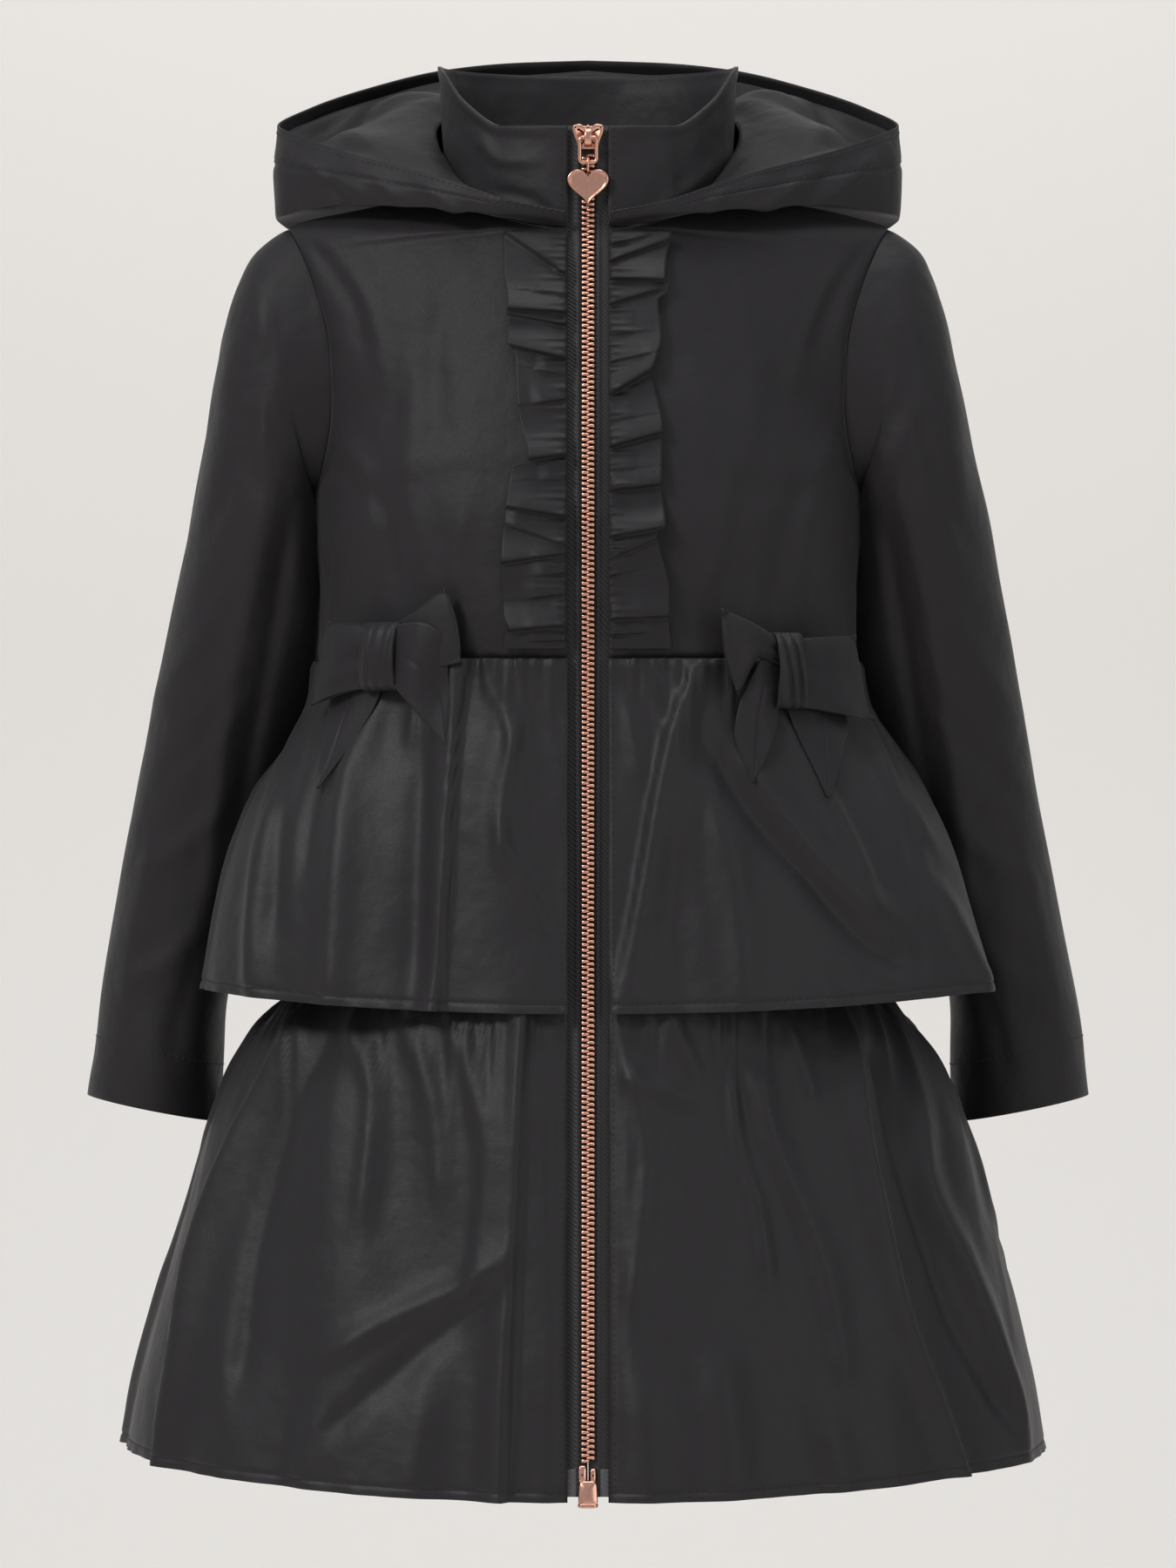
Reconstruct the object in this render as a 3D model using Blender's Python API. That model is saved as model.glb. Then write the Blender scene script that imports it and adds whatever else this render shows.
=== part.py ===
"""A child's hooded raincoat with a zip front, a short tier over a long one, and two bows.

The coat is shown filled out, as if worn. It faces -Y, and left and right are as seen from
the front, so left is -X. The origin is at the base of the neck, between the shoulders.
Sizes are in millimetres here, and become metres when a mesh is made.

Every cloth piece is a wall: a grid of outer points, and the same grid moved in by the
cloth's thickness. Angles round the body run from 0 at the zip to 180 at the centre back.
"""

import math
from collections import namedtuple

import bpy
import numpy as np

MM = 0.001
LEFT = -1
RIGHT = 1

CLOTH = 1.5  # shell cloth, seam turnings included
THIN = 1.2  # ruffles, bows and hood lining
GAP = 0.3  # between two pieces that are sewn together
ZIP_EDGE = 8.5  # from the middle of the zip to the edge of a front
WAIST = -188.0
HIP = -334.0  # where the long tier is sewn to the yoke

BLACK = (0.031, 0.030, 0.031)
BLACK_INSIDE = (0.022, 0.021, 0.022)
ROSE_GOLD = (0.42, 0.20, 0.13)


class Table:
    """A short table of sizes, read between its rows on a curve that never overshoots."""

    def __init__(self, names, rows):
        self.names = names.split()
        self.columns = np.array(sorted(rows), dtype=float).T

    def at(self, name, key):
        xs = self.columns[0]
        ys = self.columns[self.names.index(name)]
        steps = np.diff(xs)
        slopes = np.diff(ys) / steps
        before, after = slopes[:-1], slopes[1:]
        total = np.where(before + after == 0, 1.0, before + after)
        inside = np.where(before * after > 0, 2 * before * after / total, 0.0)
        lean = np.concatenate([slopes[:1], inside, slopes[-1:]])
        key = np.clip(np.asarray(key, dtype=float), xs[0], xs[-1])
        i = np.clip(np.searchsorted(xs, key) - 1, 0, len(xs) - 2)
        t = (key - xs[i]) / steps[i]
        s = 1 - t
        return (
            ys[i] * s * s * (1 + 2 * t)
            + ys[i + 1] * t * t * (1 + 2 * s)
            + steps[i] * t * s * (lean[i] * s - lean[i + 1] * t)
        )


def ease(value, low, high):
    """Runs softly from 0 at low to 1 at high."""
    t = np.clip((value - low) / (high - low), 0, 1)
    return t * t * (3 - 2 * t)


# Where the middle of the front runs, from the top of the zip to the hem.
FRONT_LINE = Table(
    "z y",
    [
        (41, -50),
        (20, -52),
        (-3, -54),
        (-14, -59),
        (-33, -66),
        (-55, -73),
        (-80, -80),
        (-105, -85),
        (-130, -88),
        (-160, -88),
        (-188, -86),
        (-240, -91),
        (-300, -99),
        (-334, -104),
        (-385, -113),
        (-424, -121),
        (-469, -130),
        (-500, -136),
        (-545, -143),
    ],
)

# The tiers: half widths, depth behind, where the widest place is, and how far the front
# stands out from the front line.
YOKE = Table(
    "z half_left half_right back middle proud",
    [
        (-188, 117, 117, 74, 0, 0),
        (-204, 117.5, 117.5, 75, 0, 0),
        (-240, 120, 120, 78, 0, 0),
        (-300, 126, 126, 84, 0, 0),
        (-334, 131, 131, 89, 0, 0),
    ],
)
PEPLUM = Table(
    "z half_left half_right back middle proud",
    [
        (-188, 119.3, 119.3, 76.3, 0, 2.3),
        (-204, 121.5, 121.5, 79, -2, 2.5),
        (-222, 130.5, 131, 87, -6, 3),
        (-241, 142, 143, 96, -11, 3.5),
        (-257, 149.5, 151, 103, -17, 4),
        (-280, 157, 159.5, 110, -23, 4.5),
        (-311, 162.5, 168, 117, -28, 5),
        (-350, 167.5, 179, 125, -30, 6),
    ],
)
SKIRT = Table(
    "z half_left half_right back middle proud",
    [
        (-334, 131, 131, 89, 0, 0),
        (-350, 143, 143, 98, -2, 0),
        (-385, 160.5, 160.5, 112, -4, 0),
        (-424, 173.7, 173.7, 124, -5, 0),
        (-469, 187.7, 187.7, 136, -5, 0),
        (-500, 195, 195, 143, -5, 0),
        (-540, 201.4, 201.4, 150, -5, 0),
    ],
)

# The heights of a tier's edges: its seam above, and its hem at the zip, side and back.
Tier = namedtuple("Tier", "form top hem_front hem_side hem_back")
YOKE_TIER = Tier(YOKE, WAIST, HIP, HIP, HIP)
PEPLUM_TIER = Tier(PEPLUM, WAIST, -338, -330, -347)
SKIRT_TIER = Tier(SKIRT, HIP, -540, -530, -538)

# Gathers of a tier: how many in a quarter of the way round, and how far they stand out
# at the seam, half way down and at the hem.
Gathers = namedtuple("Gathers", "count seam half_way hem beat")
PEPLUM_GATHERS = Gathers(10, 0.8, 1.8, 1.2, 2.3)
SKIRT_GATHERS = Gathers(10, 1.8, 3.2, 2.0, 1.7)

# A large fold: its way down as (height, angle), how many degrees it takes to fall off
# towards the zip and towards the back, and how far it stands out.
Fold = namedtuple("Fold", "side path zip_side back_side height")
PEPLUM_FOLDS = (
    Fold(LEFT, ((-200, 23), (-335, 20)), 2.0, 9, 3.6),
    Fold(LEFT, ((-225, 40), (-310, 37), (-335, 36)), 6, 7, 2.6),
    Fold(LEFT, ((-230, 62), (-335, 66)), 6, 8, 3.0),
    Fold(RIGHT, ((-200, 18), (-219, 12.5), (-290, 5.5), (-335, 3)), 2.5, 7, 3.0),
    Fold(RIGHT, ((-225, 20), (-252, 26), (-284, 35), (-309, 45), (-335, 56)), 5, 5, -3.0),
    Fold(RIGHT, ((-286, 64), (-335, 74)), 6, 7, 3.5),
    Fold(LEFT, ((-220, 118), (-345, 114)), 7, 6, 3.6),
    Fold(LEFT, ((-220, 150), (-345, 154)), 6, 9, 4.0),
    Fold(RIGHT, ((-220, 126), (-345, 130)), 8, 6, 4.0),
    Fold(RIGHT, ((-220, 160), (-345, 163)), 6, 8, 3.2),
)
SKIRT_FOLDS = (
    Fold(LEFT, ((-334, 9), (-540, 7.5)), 2.0, 9, 4.0),
    Fold(LEFT, ((-360, 32), (-540, 38)), 7, 8, 3.5),
    Fold(LEFT, ((-341, 66), (-388, 63), (-435, 66), (-540, 66)), 7, 4, 6.0),
    Fold(LEFT, ((-350, 84), (-540, 88)), 6, 6, 3.0),
    Fold(RIGHT, ((-345, 22), (-540, 16)), 6, 7, 3.4),
    Fold(RIGHT, ((-341, 51), (-425, 44), (-463, 45), (-500, 48), (-540, 57)), 5, 4.5, 6.0),
    Fold(RIGHT, ((-355, 65), (-400, 58), (-441, 61), (-482, 67), (-540, 80)), 4.5, 5, 6.5),
    Fold(LEFT, ((-350, 112), (-540, 108)), 7, 6, 5.5),
    Fold(LEFT, ((-350, 142), (-540, 146)), 7, 8, 6.0),
    Fold(RIGHT, ((-350, 104), (-540, 109)), 6, 6, 5.0),
    Fold(RIGHT, ((-350, 133), (-540, 129)), 8, 6, 6.0),
    Fold(RIGHT, ((-350, 163), (-540, 166)), 7, 7, 5.5),
)

# The bodice, row by row from the waist to the shoulder: the height at the middle or the
# angle round the neck, the height at the side seam or the angle round the armhole, and how
# far round a quarter circle the row sweeps.
BodiceRow = namedtuple("BodiceRow", "middle_z back_y neck side_z armhole sweep")
BODICE_ROWS = (
    BodiceRow(-188, 74.0, None, -188, None, 90),
    BodiceRow(-160, 74.0, None, -160, None, 90),
    BodiceRow(-130, 74.0, None, -135, None, 90),
    BodiceRow(-105, 73.5, None, None, 180, 90),
    BodiceRow(-80, 72.5, None, None, 140, 76),
    BodiceRow(-55, 70.0, None, None, 110, 64),
    BodiceRow(-33, 66.0, None, None, 85, 56),
    BodiceRow(-14, 60.0, None, None, 62, 49),
    BodiceRow(None, None, 0, None, 44, 42),
    BodiceRow(None, None, 15, None, 36, 38),
    BodiceRow(None, None, 30, None, 28, 35),
    BodiceRow(None, None, 45, None, 21, 31),
    BodiceRow(None, None, 60, None, 14, 28),
    BodiceRow(None, None, 75, None, 7, 24),
    BodiceRow(None, None, 90, None, 0, 20),
)
NECK_ROW = 8  # the first row that ends on the neck
BODICE_COLS = 9
SIDE_X = Table("z x", [(-188, 117), (-160, 117), (-135, 119), (-118, 120)])

# The sleeve, ring by ring from the shoulder to the cuff: its outermost and innermost
# points, the middle of its depth and half its depth.
SLEEVE = Table(
    "ring out_x out_z in_x in_z middle depth",
    [
        (0, 131.3, 2, 120.3, -118, 0, 31),
        (1, 147, -13, 121.8, -121, 2, 35),
        (2, 158, -44, 121.8, -130, 5, 37),
        (3, 165, -77, 120.8, -147, 9, 37.5),
        (4, 173, -115, 119.6, -172, 16, 37),
        (5, 183, -165, 124.5, -205, 28, 36.5),
        (6, 195.4, -226, 138, -254, 43, 36),
        (7, 206.8, -281, 153, -302, 53, 36),
        (8, 217, -336, 161, -350, 58, 36.5),
        (9, 222.5, -379, 162, -391, 58, 35.5),
    ],
)
SLEEVE_CREASES = (0, 0, 1.6, 0.4, 1.8, 0.5, 1.9, 0.4, 1.4, 0)

# The collar's upper edge by the angle round the neck.
COLLAR_TOP = Table(
    "angle z lean",
    [(0, 41, -4), (35, 42, -3), (55, 53, 1), (75, 68, 3), (90, 72, 3), (180, 73, 4)],
)

# The hood, laid open round the collar. Each row is one direction from the neck: where the
# rim is, and the reach (1 is the rim) and height of three places under it.
HOOD = Table(
    "angle rim_x rim_y rim_z low low_z wide wide_z high high_z",
    [
        (0, 9.6, -60.0, 3.4, 0.4, -1.2, 0.65, 0.3, 0.85, 1.8),
        (20, 33, -62.0, 8, 0.5, 0.6, 0.85, 1.8, 1.0, 4.5),
        (35, 53, -58, 15, 0.5, 3.6, 0.98, 3.6, 1.06, 8.8),
        (50, 76, -46, 23, 0.5, 8.6, 1.05, 6.6, 1.1, 14),
        (70, 105, -28, 32, 0.5, 12.5, 1.06, 8.5, 1.08, 20),
        (90, 128, -6, 42, 0.5, 12.6, 1.07, 6.6, 1.08, 24),
        (100, 136, 10, 47, 0.5, 13, 1.0, 5.5, 1.02, 26),
        (115, 122, 32, 57, 0.5, 12, 1.06, -1, 1.09, 30),
        (130, 99, 51, 67, 0.5, 9.5, 1.3, -12, 1.38, 30),
        (150, 64, 75, 78, 0.5, 4.5, 1.6, -30, 1.8, 24),
        (165, 33, 88, 82.5, 0.5, 2, 1.72, -39, 2.0, 21),
        (180, 0, 92, 84, 0.5, 1, 1.75, -42, 2.08, 20),
    ],
)

# The cloth inside the hood: its height beside the collar, at three places on the way out
# and under the rim.
LINING = Table(
    "angle z0 z30 z60 z85 z100",
    [
        (24, 5, 5.4, 6, 6.4, 6.8),
        (50, 15, 18, 19, 19.5, 20),
        (70, 31, 34, 32, 29, 28.5),
        (90, 43, 46, 44, 34, 37),
        (110, 50, 55, 49, 44, 49),
        (130, 52, 61, 65, 63, 62),
        (150, 34, 45, 58, 69, 73),
        (180, 24, 30, 44, 68, 79),
    ],
)

RUFFLE_TOP = -5
RUFFLE_FOOT = -184
RUFFLE_WAVES = 11
RUFFLE_WIDTH = Table(
    "z left right",
    [(-184, 23, 21), (-150, 27, 22), (-110, 26, 23), (-60, 27, 25), (-5, 21, 18)],
)

# The bows: the knot's angle and height, then for each loop its length, half its height at
# the end and its lift, and for each tail its foot and half its width.
Loop = namedtuple("Loop", "toward length half lift")
Tail = namedtuple("Tail", "foot drop half lean")
Bow = namedtuple("Bow", "side angle z loops tails")
BOWS = (
    Bow(
        LEFT,
        41.6,
        -187,
        (Loop(1, 40, 18.5, -1), Loop(-1, 31, 21, 5)),
        (Tail(21, -54, 12.0, 1.0), Tail(-26, -35, 10.5, -3.0)),
    ),
    Bow(
        RIGHT,
        39.7,
        -193,
        (Loop(1, 43, 17.5, -2), Loop(-1, 25, 18, 6)),
        (Tail(22, -50, 12.5, 3.0), Tail(-15, -49, 10.0, -1.0)),
    ),
)
KNOT_HALF = 7.5
TAIL_ROOT = 3.1  # how far a tail stands out where it leaves the knot
KNOT_ARCH = ((-15, 6.0), (-15.6, 8.6), (-12, 12.8), (0, 14.8), (12, 12.8), (15.6, 8.6), (15, 4.0))
LOOP_PATH = (
    (0.0, 6.8),
    (0.35, 6.1),
    (0.72, 6.3),
    (0.93, 7.2),
    (1.0, 9.4),
    (0.95, 11.8),
    (0.7, 13.2),
    (0.36, 12.0),
    (0.0, 10.0),
)

# The zip pull hangs in one upright plane, just clear of the zip.
PULL_Y = -55.4
LINK_TOP = 35.5
LINK_FOOT = 24.9
LINK_HALF = 3.6
LINK_WIRE = 0.9
RING_LOW = 22.7
RING_RADIUS = 1.9
RING_WIRE = 0.6
HEART_TOP = 21.8
HEART_FOOT = 6.4
HEART_HALF = 8.9
HEART_THICK = 2.0


def clear_scene():
    for old in list(bpy.data.objects):
        bpy.data.objects.remove(old, do_unlink=True)


def make_material(name, colour, roughness, metallic):
    material = bpy.data.materials.new(name)
    material.use_nodes = True
    shader = material.node_tree.nodes["Principled BSDF"]
    shader.inputs["Base Color"].default_value = (*colour, 1.0)
    shader.inputs["Roughness"].default_value = roughness
    shader.inputs["Metallic"].default_value = metallic
    return material


def add_object(name, points, faces, look, origin=(0, 0, 0)):
    """Makes a mesh object from points in millimetres, with its faces turned outward."""
    points = np.asarray(points, dtype=float)
    faces = np.asarray(faces)
    corners = points[faces]
    volume = np.einsum("ij,ij->i", corners[:, 0], np.cross(corners[:, 1], corners[:, 2]))
    if volume.sum() < 0:
        faces = faces[:, ::-1]
    mesh = bpy.data.meshes.new(name)
    mesh.from_pydata(((points - origin) * MM).tolist(), [], faces.tolist())
    mesh.validate()
    mesh.materials.append(make_material(name + "_look", *look))
    made = bpy.data.objects.new(name, mesh)
    made.location = [c * MM for c in origin]
    bpy.context.scene.collection.objects.link(made)
    return made


CLOTH_LOOK = (BLACK, 0.55, 0.0)
INSIDE_LOOK = (BLACK_INSIDE, 0.7, 0.0)
METAL_LOOK = (ROSE_GOLD, 0.3, 1.0)


def wall_faces(rows, cols, closed=False, bare_rows=0):
    """Gives the triangles of a wall between an outer and an inner grid.

    A closed wall joins its last column to its first. bare_rows leaves the rim off the
    first column for that many rows, where a mirrored half joins on.
    """
    layer = rows * cols
    faces = []

    def quad(a, b, c, d):
        faces.append((a, b, c))
        faces.append((a, c, d))

    across = cols if closed else cols - 1
    for r in range(rows - 1):
        for c in range(across):
            a = r * cols + c
            b = r * cols + (c + 1) % cols
            d = a + cols
            e = b + cols
            quad(a, b, e, d)
            faces.append((a + layer, e + layer, b + layer))
            faces.append((a + layer, d + layer, e + layer))
    for r, turned in ((0, False), (rows - 1, True)):
        for c in range(across):
            a = r * cols + c
            b = r * cols + (c + 1) % cols
            if turned:
                quad(a, b, b + layer, a + layer)
            else:
                quad(b, a, a + layer, b + layer)
    if not closed:
        for r in range(rows - 1):
            a = r * cols
            d = a + cols
            if r >= bare_rows:
                quad(a, d, d + layer, a + layer)
            a = r * cols + cols - 1
            d = a + cols
            quad(d, a, a + layer, d + layer)
    return np.array(faces)


def pull_back(grid, edges, by=GAP / 2):
    """Moves the named edges of a grid in, to leave half a seam's gap."""
    grid = grid.copy()
    for edge in edges:
        first, second = {
            "bottom": (np.s_[0], np.s_[1]),
            "top": (np.s_[-1], np.s_[-2]),
            "start": (np.s_[:, 0], np.s_[:, 1]),
            "end": (np.s_[:, -1], np.s_[:, -2]),
        }[edge]
        step = grid[second] - grid[first]
        grid[first] += step * by / np.linalg.norm(step, axis=-1, keepdims=True)
    return grid


def add_wall(name, outer, inner, look, edges=(), closed=False):
    outer = pull_back(outer, edges)
    inner = pull_back(inner, edges)
    rows, cols = outer.shape[:2]
    points = np.concatenate([outer.reshape(-1, 3), inner.reshape(-1, 3)])
    return add_object(name, points, wall_faces(rows, cols, closed), look)


def unit(vectors):
    return vectors / np.linalg.norm(vectors, axis=-1, keepdims=True)


def grid_normals(grid, closed=False):
    """Gives the directions square to a grid; the caller picks the side."""
    along = np.gradient(grid, axis=0)
    if closed:
        across = np.roll(grid, -1, axis=1) - np.roll(grid, 1, axis=1)
    else:
        across = np.gradient(grid, axis=1)
    return unit(np.cross(across, along))


def mirrored(points):
    return points * np.array([-1.0, 1.0, 1.0])


# Tiers: yoke, short tier and long tier.


def ring(form, side, angle, z):
    """Gives points of a tier's plain form, and the level directions out of it."""
    half = np.where(side < 0, form.at("half_left", z), form.at("half_right", z))
    middle = form.at("middle", z)
    front = FRONT_LINE.at("y", z) - form.at("proud", z)
    ahead = angle < 90
    edge = np.where(ahead, ZIP_EDGE, 0.0)
    reach = half - edge
    depth = np.where(ahead, middle - front, form.at("back", z) - middle)
    sine = np.sin(np.radians(angle))
    cosine = np.cos(np.radians(angle))
    points = np.stack([side * (edge + reach * sine), middle - depth * cosine, z], axis=-1)
    out = np.stack([side * depth * sine, -reach * cosine, np.zeros_like(z)], axis=-1)
    return points, unit(out)


def gather_height(gathers, side, angle, down):
    """Gives how far the small gathers stand out, unevenly from one to the next."""
    turn = angle / 90 * gathers.count
    number = np.floor(turn)
    size = 0.65 + 0.35 * np.sin(gathers.beat * number + 1.3 * side)
    wave = 0.5 - 0.5 * np.cos(2 * math.pi * turn)
    low = gathers.seam + (gathers.half_way - gathers.seam) * ease(down, 0, 0.5)
    tall = low + (gathers.hem - gathers.half_way) * ease(down, 0.5, 1)
    return wave * size * tall * ease(angle, 3, 12)


def fold_height(folds, side, angle, z, down):
    """Gives how far the large folds stand out."""
    total = np.zeros_like(z)
    for fold in folds:
        heights, angles = np.array(sorted(fold.path)).T
        away = angle - np.interp(z, heights, angles)
        width = np.where(away < 0, fold.zip_side, fold.back_side)
        grow = ease(down, 0.05, 0.6)
        total += np.where(side == fold.side, fold.height, 0) * grow * np.exp(-((away / width) ** 2))
    return total


def add_tier(name, tier, gathers, folds, columns, rows, edges, look=CLOTH_LOOK):
    """Makes one panel of a tier; columns are (side, angle) pairs and rows go down."""
    side, angle = np.array(columns, dtype=float).T
    down = np.linspace(0, 1, rows)[:, None] ** 0.85
    hem_end = np.where(angle < 90, tier.hem_front, tier.hem_back)
    hem = tier.hem_side + (hem_end - tier.hem_side) * np.cos(np.radians(angle)) ** 2
    z = tier.top + (hem - tier.top) * down
    angle = np.broadcast_to(angle, z.shape)
    side = np.broadcast_to(side, z.shape)
    down = np.broadcast_to(down, z.shape)
    points, out = ring(tier.form, side, angle, z)
    height = np.zeros_like(z)
    if gathers:
        height += gather_height(gathers, side, angle, down)
    height += fold_height(folds, side, angle, z, down)
    outer = points + out * height[..., None]
    inner = outer - out * CLOTH
    add_wall(name, outer, inner, look, edges)


def quarter(side, count, first=0, last=90):
    return [(side, a) for a in np.linspace(first, last, count + 1)]


def back_columns(count):
    """Columns from the left side seam round the back to the right one."""
    left = quarter(LEFT, count, 90, 180)
    right = quarter(RIGHT, count, 180, 90)
    return left + right[1:]


def add_tiers():
    around = quarter(LEFT, 10) + quarter(LEFT, 9, 99, 180)
    around += [(RIGHT, angle) for _, angle in around[-2::-1]]
    add_tier("hip_yoke", YOKE_TIER, None, (), around, 4, ("bottom", "top"))
    for name, tier, gathers, folds, rows, edges in (
        ("peplum", PEPLUM_TIER, PEPLUM_GATHERS, PEPLUM_FOLDS, 6, ()),
        ("skirt", SKIRT_TIER, SKIRT_GATHERS, SKIRT_FOLDS, 7, ("bottom",)),
    ):
        count = 2 * gathers.count
        for word, side in (("left", LEFT), ("right", RIGHT)):
            columns = quarter(side, count)
            add_tier(f"{name}_{word}", tier, gathers, folds, columns, rows, (*edges, "end"))
        both = (*edges, "start", "end")
        add_tier(f"{name}_back", tier, gathers, folds, back_columns(count), rows, both)


# Bodice, neck and armholes.


def neck_point(angle):
    """Gives the neck seam; 0 is at the zip and 180 at the centre back."""
    angle = np.asarray(angle, dtype=float)
    sine = np.sin(np.radians(angle))
    cosine = np.cos(np.radians(angle))
    ahead = angle < 90
    x = np.where(ahead, ZIP_EDGE + (62 - ZIP_EDGE) * sine, 62 * sine)
    y = np.where(ahead, 4 - 58 * cosine, 4 - 46 * cosine)
    z = np.where(ahead, -3 + 19 * sine**2, 8 + 8 * sine**2)
    return np.stack([x, y, z], axis=-1)


def armhole_point(angle):
    """Gives the right armhole; 0 is the shoulder, 180 the underarm and 90 the front."""
    turn = np.radians(angle)
    depth = np.where(np.sin(turn) > 0, 32, 30)
    return np.stack(
        [
            125.5 + 5.5 * np.cos(turn) - 14 * np.sin(turn) ** 2,
            -depth * np.sin(turn),
            -58 + 60 * np.cos(turn),
        ],
        axis=-1,
    )


def bodice_grid(is_back, cols):
    """Gives the right half of the front or back bodice, from the middle to the side."""
    facing = -1 if is_back else 1
    t = np.linspace(0, 1, cols)
    rows = []
    for row in BODICE_ROWS:
        if row.neck is not None:
            start = neck_point(180 - row.neck if is_back else row.neck)
        elif is_back:
            start = np.array([0, row.back_y, row.middle_z])
        else:
            start = np.array([ZIP_EDGE, FRONT_LINE.at("y", row.middle_z), row.middle_z])
        if row.armhole is not None:
            end = armhole_point(row.armhole * facing)
        else:
            end = np.array([SIDE_X.at("x", row.side_z), 0, row.side_z])
        sweep = math.radians(row.sweep)
        shares = np.stack(
            [
                np.sin(t * sweep) / math.sin(sweep),
                (1 - np.cos(t * sweep)) / (1 - math.cos(sweep)),
                t**1.2,
            ],
            axis=-1,
        )
        rows.append(start + (end - start) * shares)
    return np.array(rows)


def add_bodice():
    cols = BODICE_COLS
    front = bodice_grid(False, cols)
    back = bodice_grid(True, cols)
    front_out = grid_normals(front)
    back_out = -grid_normals(back)
    below_armhole = slice(0, 4)
    for out in (front_out, back_out):
        out[below_armhole, -1] = (1, 0, 0)
        out[0, :, 2] = 0
    front_out[:NECK_ROW, 0, 0] = 0
    back_out[: NECK_ROW + 1, 0, 0] = 0
    shared = front_out[-1] + back_out[-1]
    front_out[-1] = shared
    back_out[-1] = shared
    front_in = front - unit(front_out) * CLOTH
    back_in = back - unit(back_out) * CLOTH

    edges = ("bottom", "top")
    outer = pull_back(front, edges)
    inner = pull_back(front_in, edges)
    outer[below_armhole] = pull_back(outer[below_armhole], ("end",))
    inner[below_armhole] = pull_back(inner[below_armhole], ("end",))
    add_wall("front_right", outer, inner, CLOTH_LOOK)
    add_wall("front_left", mirrored(outer), mirrored(inner), CLOTH_LOOK)

    outer = pull_back(back, edges)
    inner = pull_back(back_in, edges)
    outer[below_armhole] = pull_back(outer[below_armhole], ("end",))
    inner[below_armhole] = pull_back(inner[below_armhole], ("end",))
    for grid in (outer, inner):
        grid[: NECK_ROW + 1, 0, 0] = 0
    half = np.concatenate([outer.reshape(-1, 3), inner.reshape(-1, 3)])
    faces = wall_faces(len(BODICE_ROWS), cols, bare_rows=NECK_ROW)
    points = np.concatenate([half, mirrored(half)])
    # The mirrored half uses the first half's points down the centre back.
    other = np.arange(len(half)) + len(half)
    layer = len(BODICE_ROWS) * cols
    for r in range(NECK_ROW + 1):
        for start in (r * cols, r * cols + layer):
            other[start] = start
    faces = np.concatenate([faces, other[faces][:, ::-1]])
    used = np.unique(faces)
    renumber = np.zeros(len(points), dtype=int)
    renumber[used] = np.arange(len(used))
    add_object("back", points[used], renumber[faces], CLOTH_LOOK)


def armhole_angles():
    """Gives the angles round the armhole that the bodice's rows end on."""
    front = [row.armhole for row in BODICE_ROWS[-1::-2] if row.armhole is not None]
    front = sorted({*front, *[row.armhole for row in BODICE_ROWS[3:8]]})
    return np.array(front + [360 - angle for angle in front[-2:0:-1]], dtype=float)


def sleeve_grid(rings, angle):
    """Gives the right sleeve's rings from the armhole to the cuff."""
    cosine = np.cos(np.radians(angle))
    sine = np.sin(np.radians(angle))
    grid = []
    for number in rings:
        size = {name: SLEEVE.at(name, number) for name in SLEEVE.names[1:]}
        if number == 0:
            points = armhole_point(angle) + (GAP, 0, 0)
        else:
            wide = (size["out_x"] - size["in_x"]) / 2
            tall = (size["out_z"] - size["in_z"]) / 2
            crease = np.interp(number, range(len(SLEEVE_CREASES)), SLEEVE_CREASES)
            depth = size["depth"] + crease * np.cos(np.radians(3 * angle + 40 * number))
            points = np.stack(
                [
                    size["out_x"] - wide + wide * cosine,
                    size["middle"] - depth * sine,
                    size["out_z"] - tall + tall * cosine,
                ],
                axis=-1,
            )
        grid.append(points)
    return np.array(grid)


def add_sleeves():
    grid = sleeve_grid(np.array([0, 0.5, 1, 1.5, 2, 3, 4, 5, 6, 7, 8, 9]), armhole_angles())
    out = grid_normals(grid, closed=True)
    middle = grid.mean(axis=1, keepdims=True)
    if np.sum(out[3:] * (grid - middle)[3:]) < 0:
        out = -out
    level = grid[0] - middle[0]
    level[:, 0] = 0
    out[0] = unit(level)
    inner = grid - out * CLOTH
    add_wall("sleeve_right", grid, inner, CLOTH_LOOK, closed=True)
    add_wall("sleeve_left", mirrored(grid), mirrored(inner), CLOTH_LOOK, closed=True)


# Collar and hood.


def both_sides(half):
    """Joins a right half to its mirror image, along the centre back column."""
    return np.concatenate([mirrored(half), half[:, -2::-1]], axis=1)


def neck_out(angle):
    """Gives the level direction out of the neck."""
    ahead = angle < 90
    wide = np.where(ahead, 62 - ZIP_EDGE, 62)
    deep = np.where(ahead, 58, 46)
    sine = np.sin(np.radians(angle))
    cosine = np.cos(np.radians(angle))
    return unit(np.stack([deep * sine, -wide * cosine, np.zeros_like(angle)], axis=-1))


def add_collar():
    angle = np.linspace(0, 180, 19)
    rise = np.linspace(0, 1, 5)[:, None]
    base = neck_point(angle)
    out = neck_out(angle)
    top = COLLAR_TOP.at("z", angle)
    lean = COLLAR_TOP.at("lean", angle)
    outer = base + out * (lean * rise)[..., None]
    foot = base[:, 2] + 0.7
    outer[..., 2] = foot + (top - foot) * rise
    thick = CLOTH + 1.1 * ease(angle, 10, 30)
    inner = outer - out * thick[:, None]
    add_wall("collar", both_sides(outer), both_sides(inner), CLOTH_LOOK)


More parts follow.
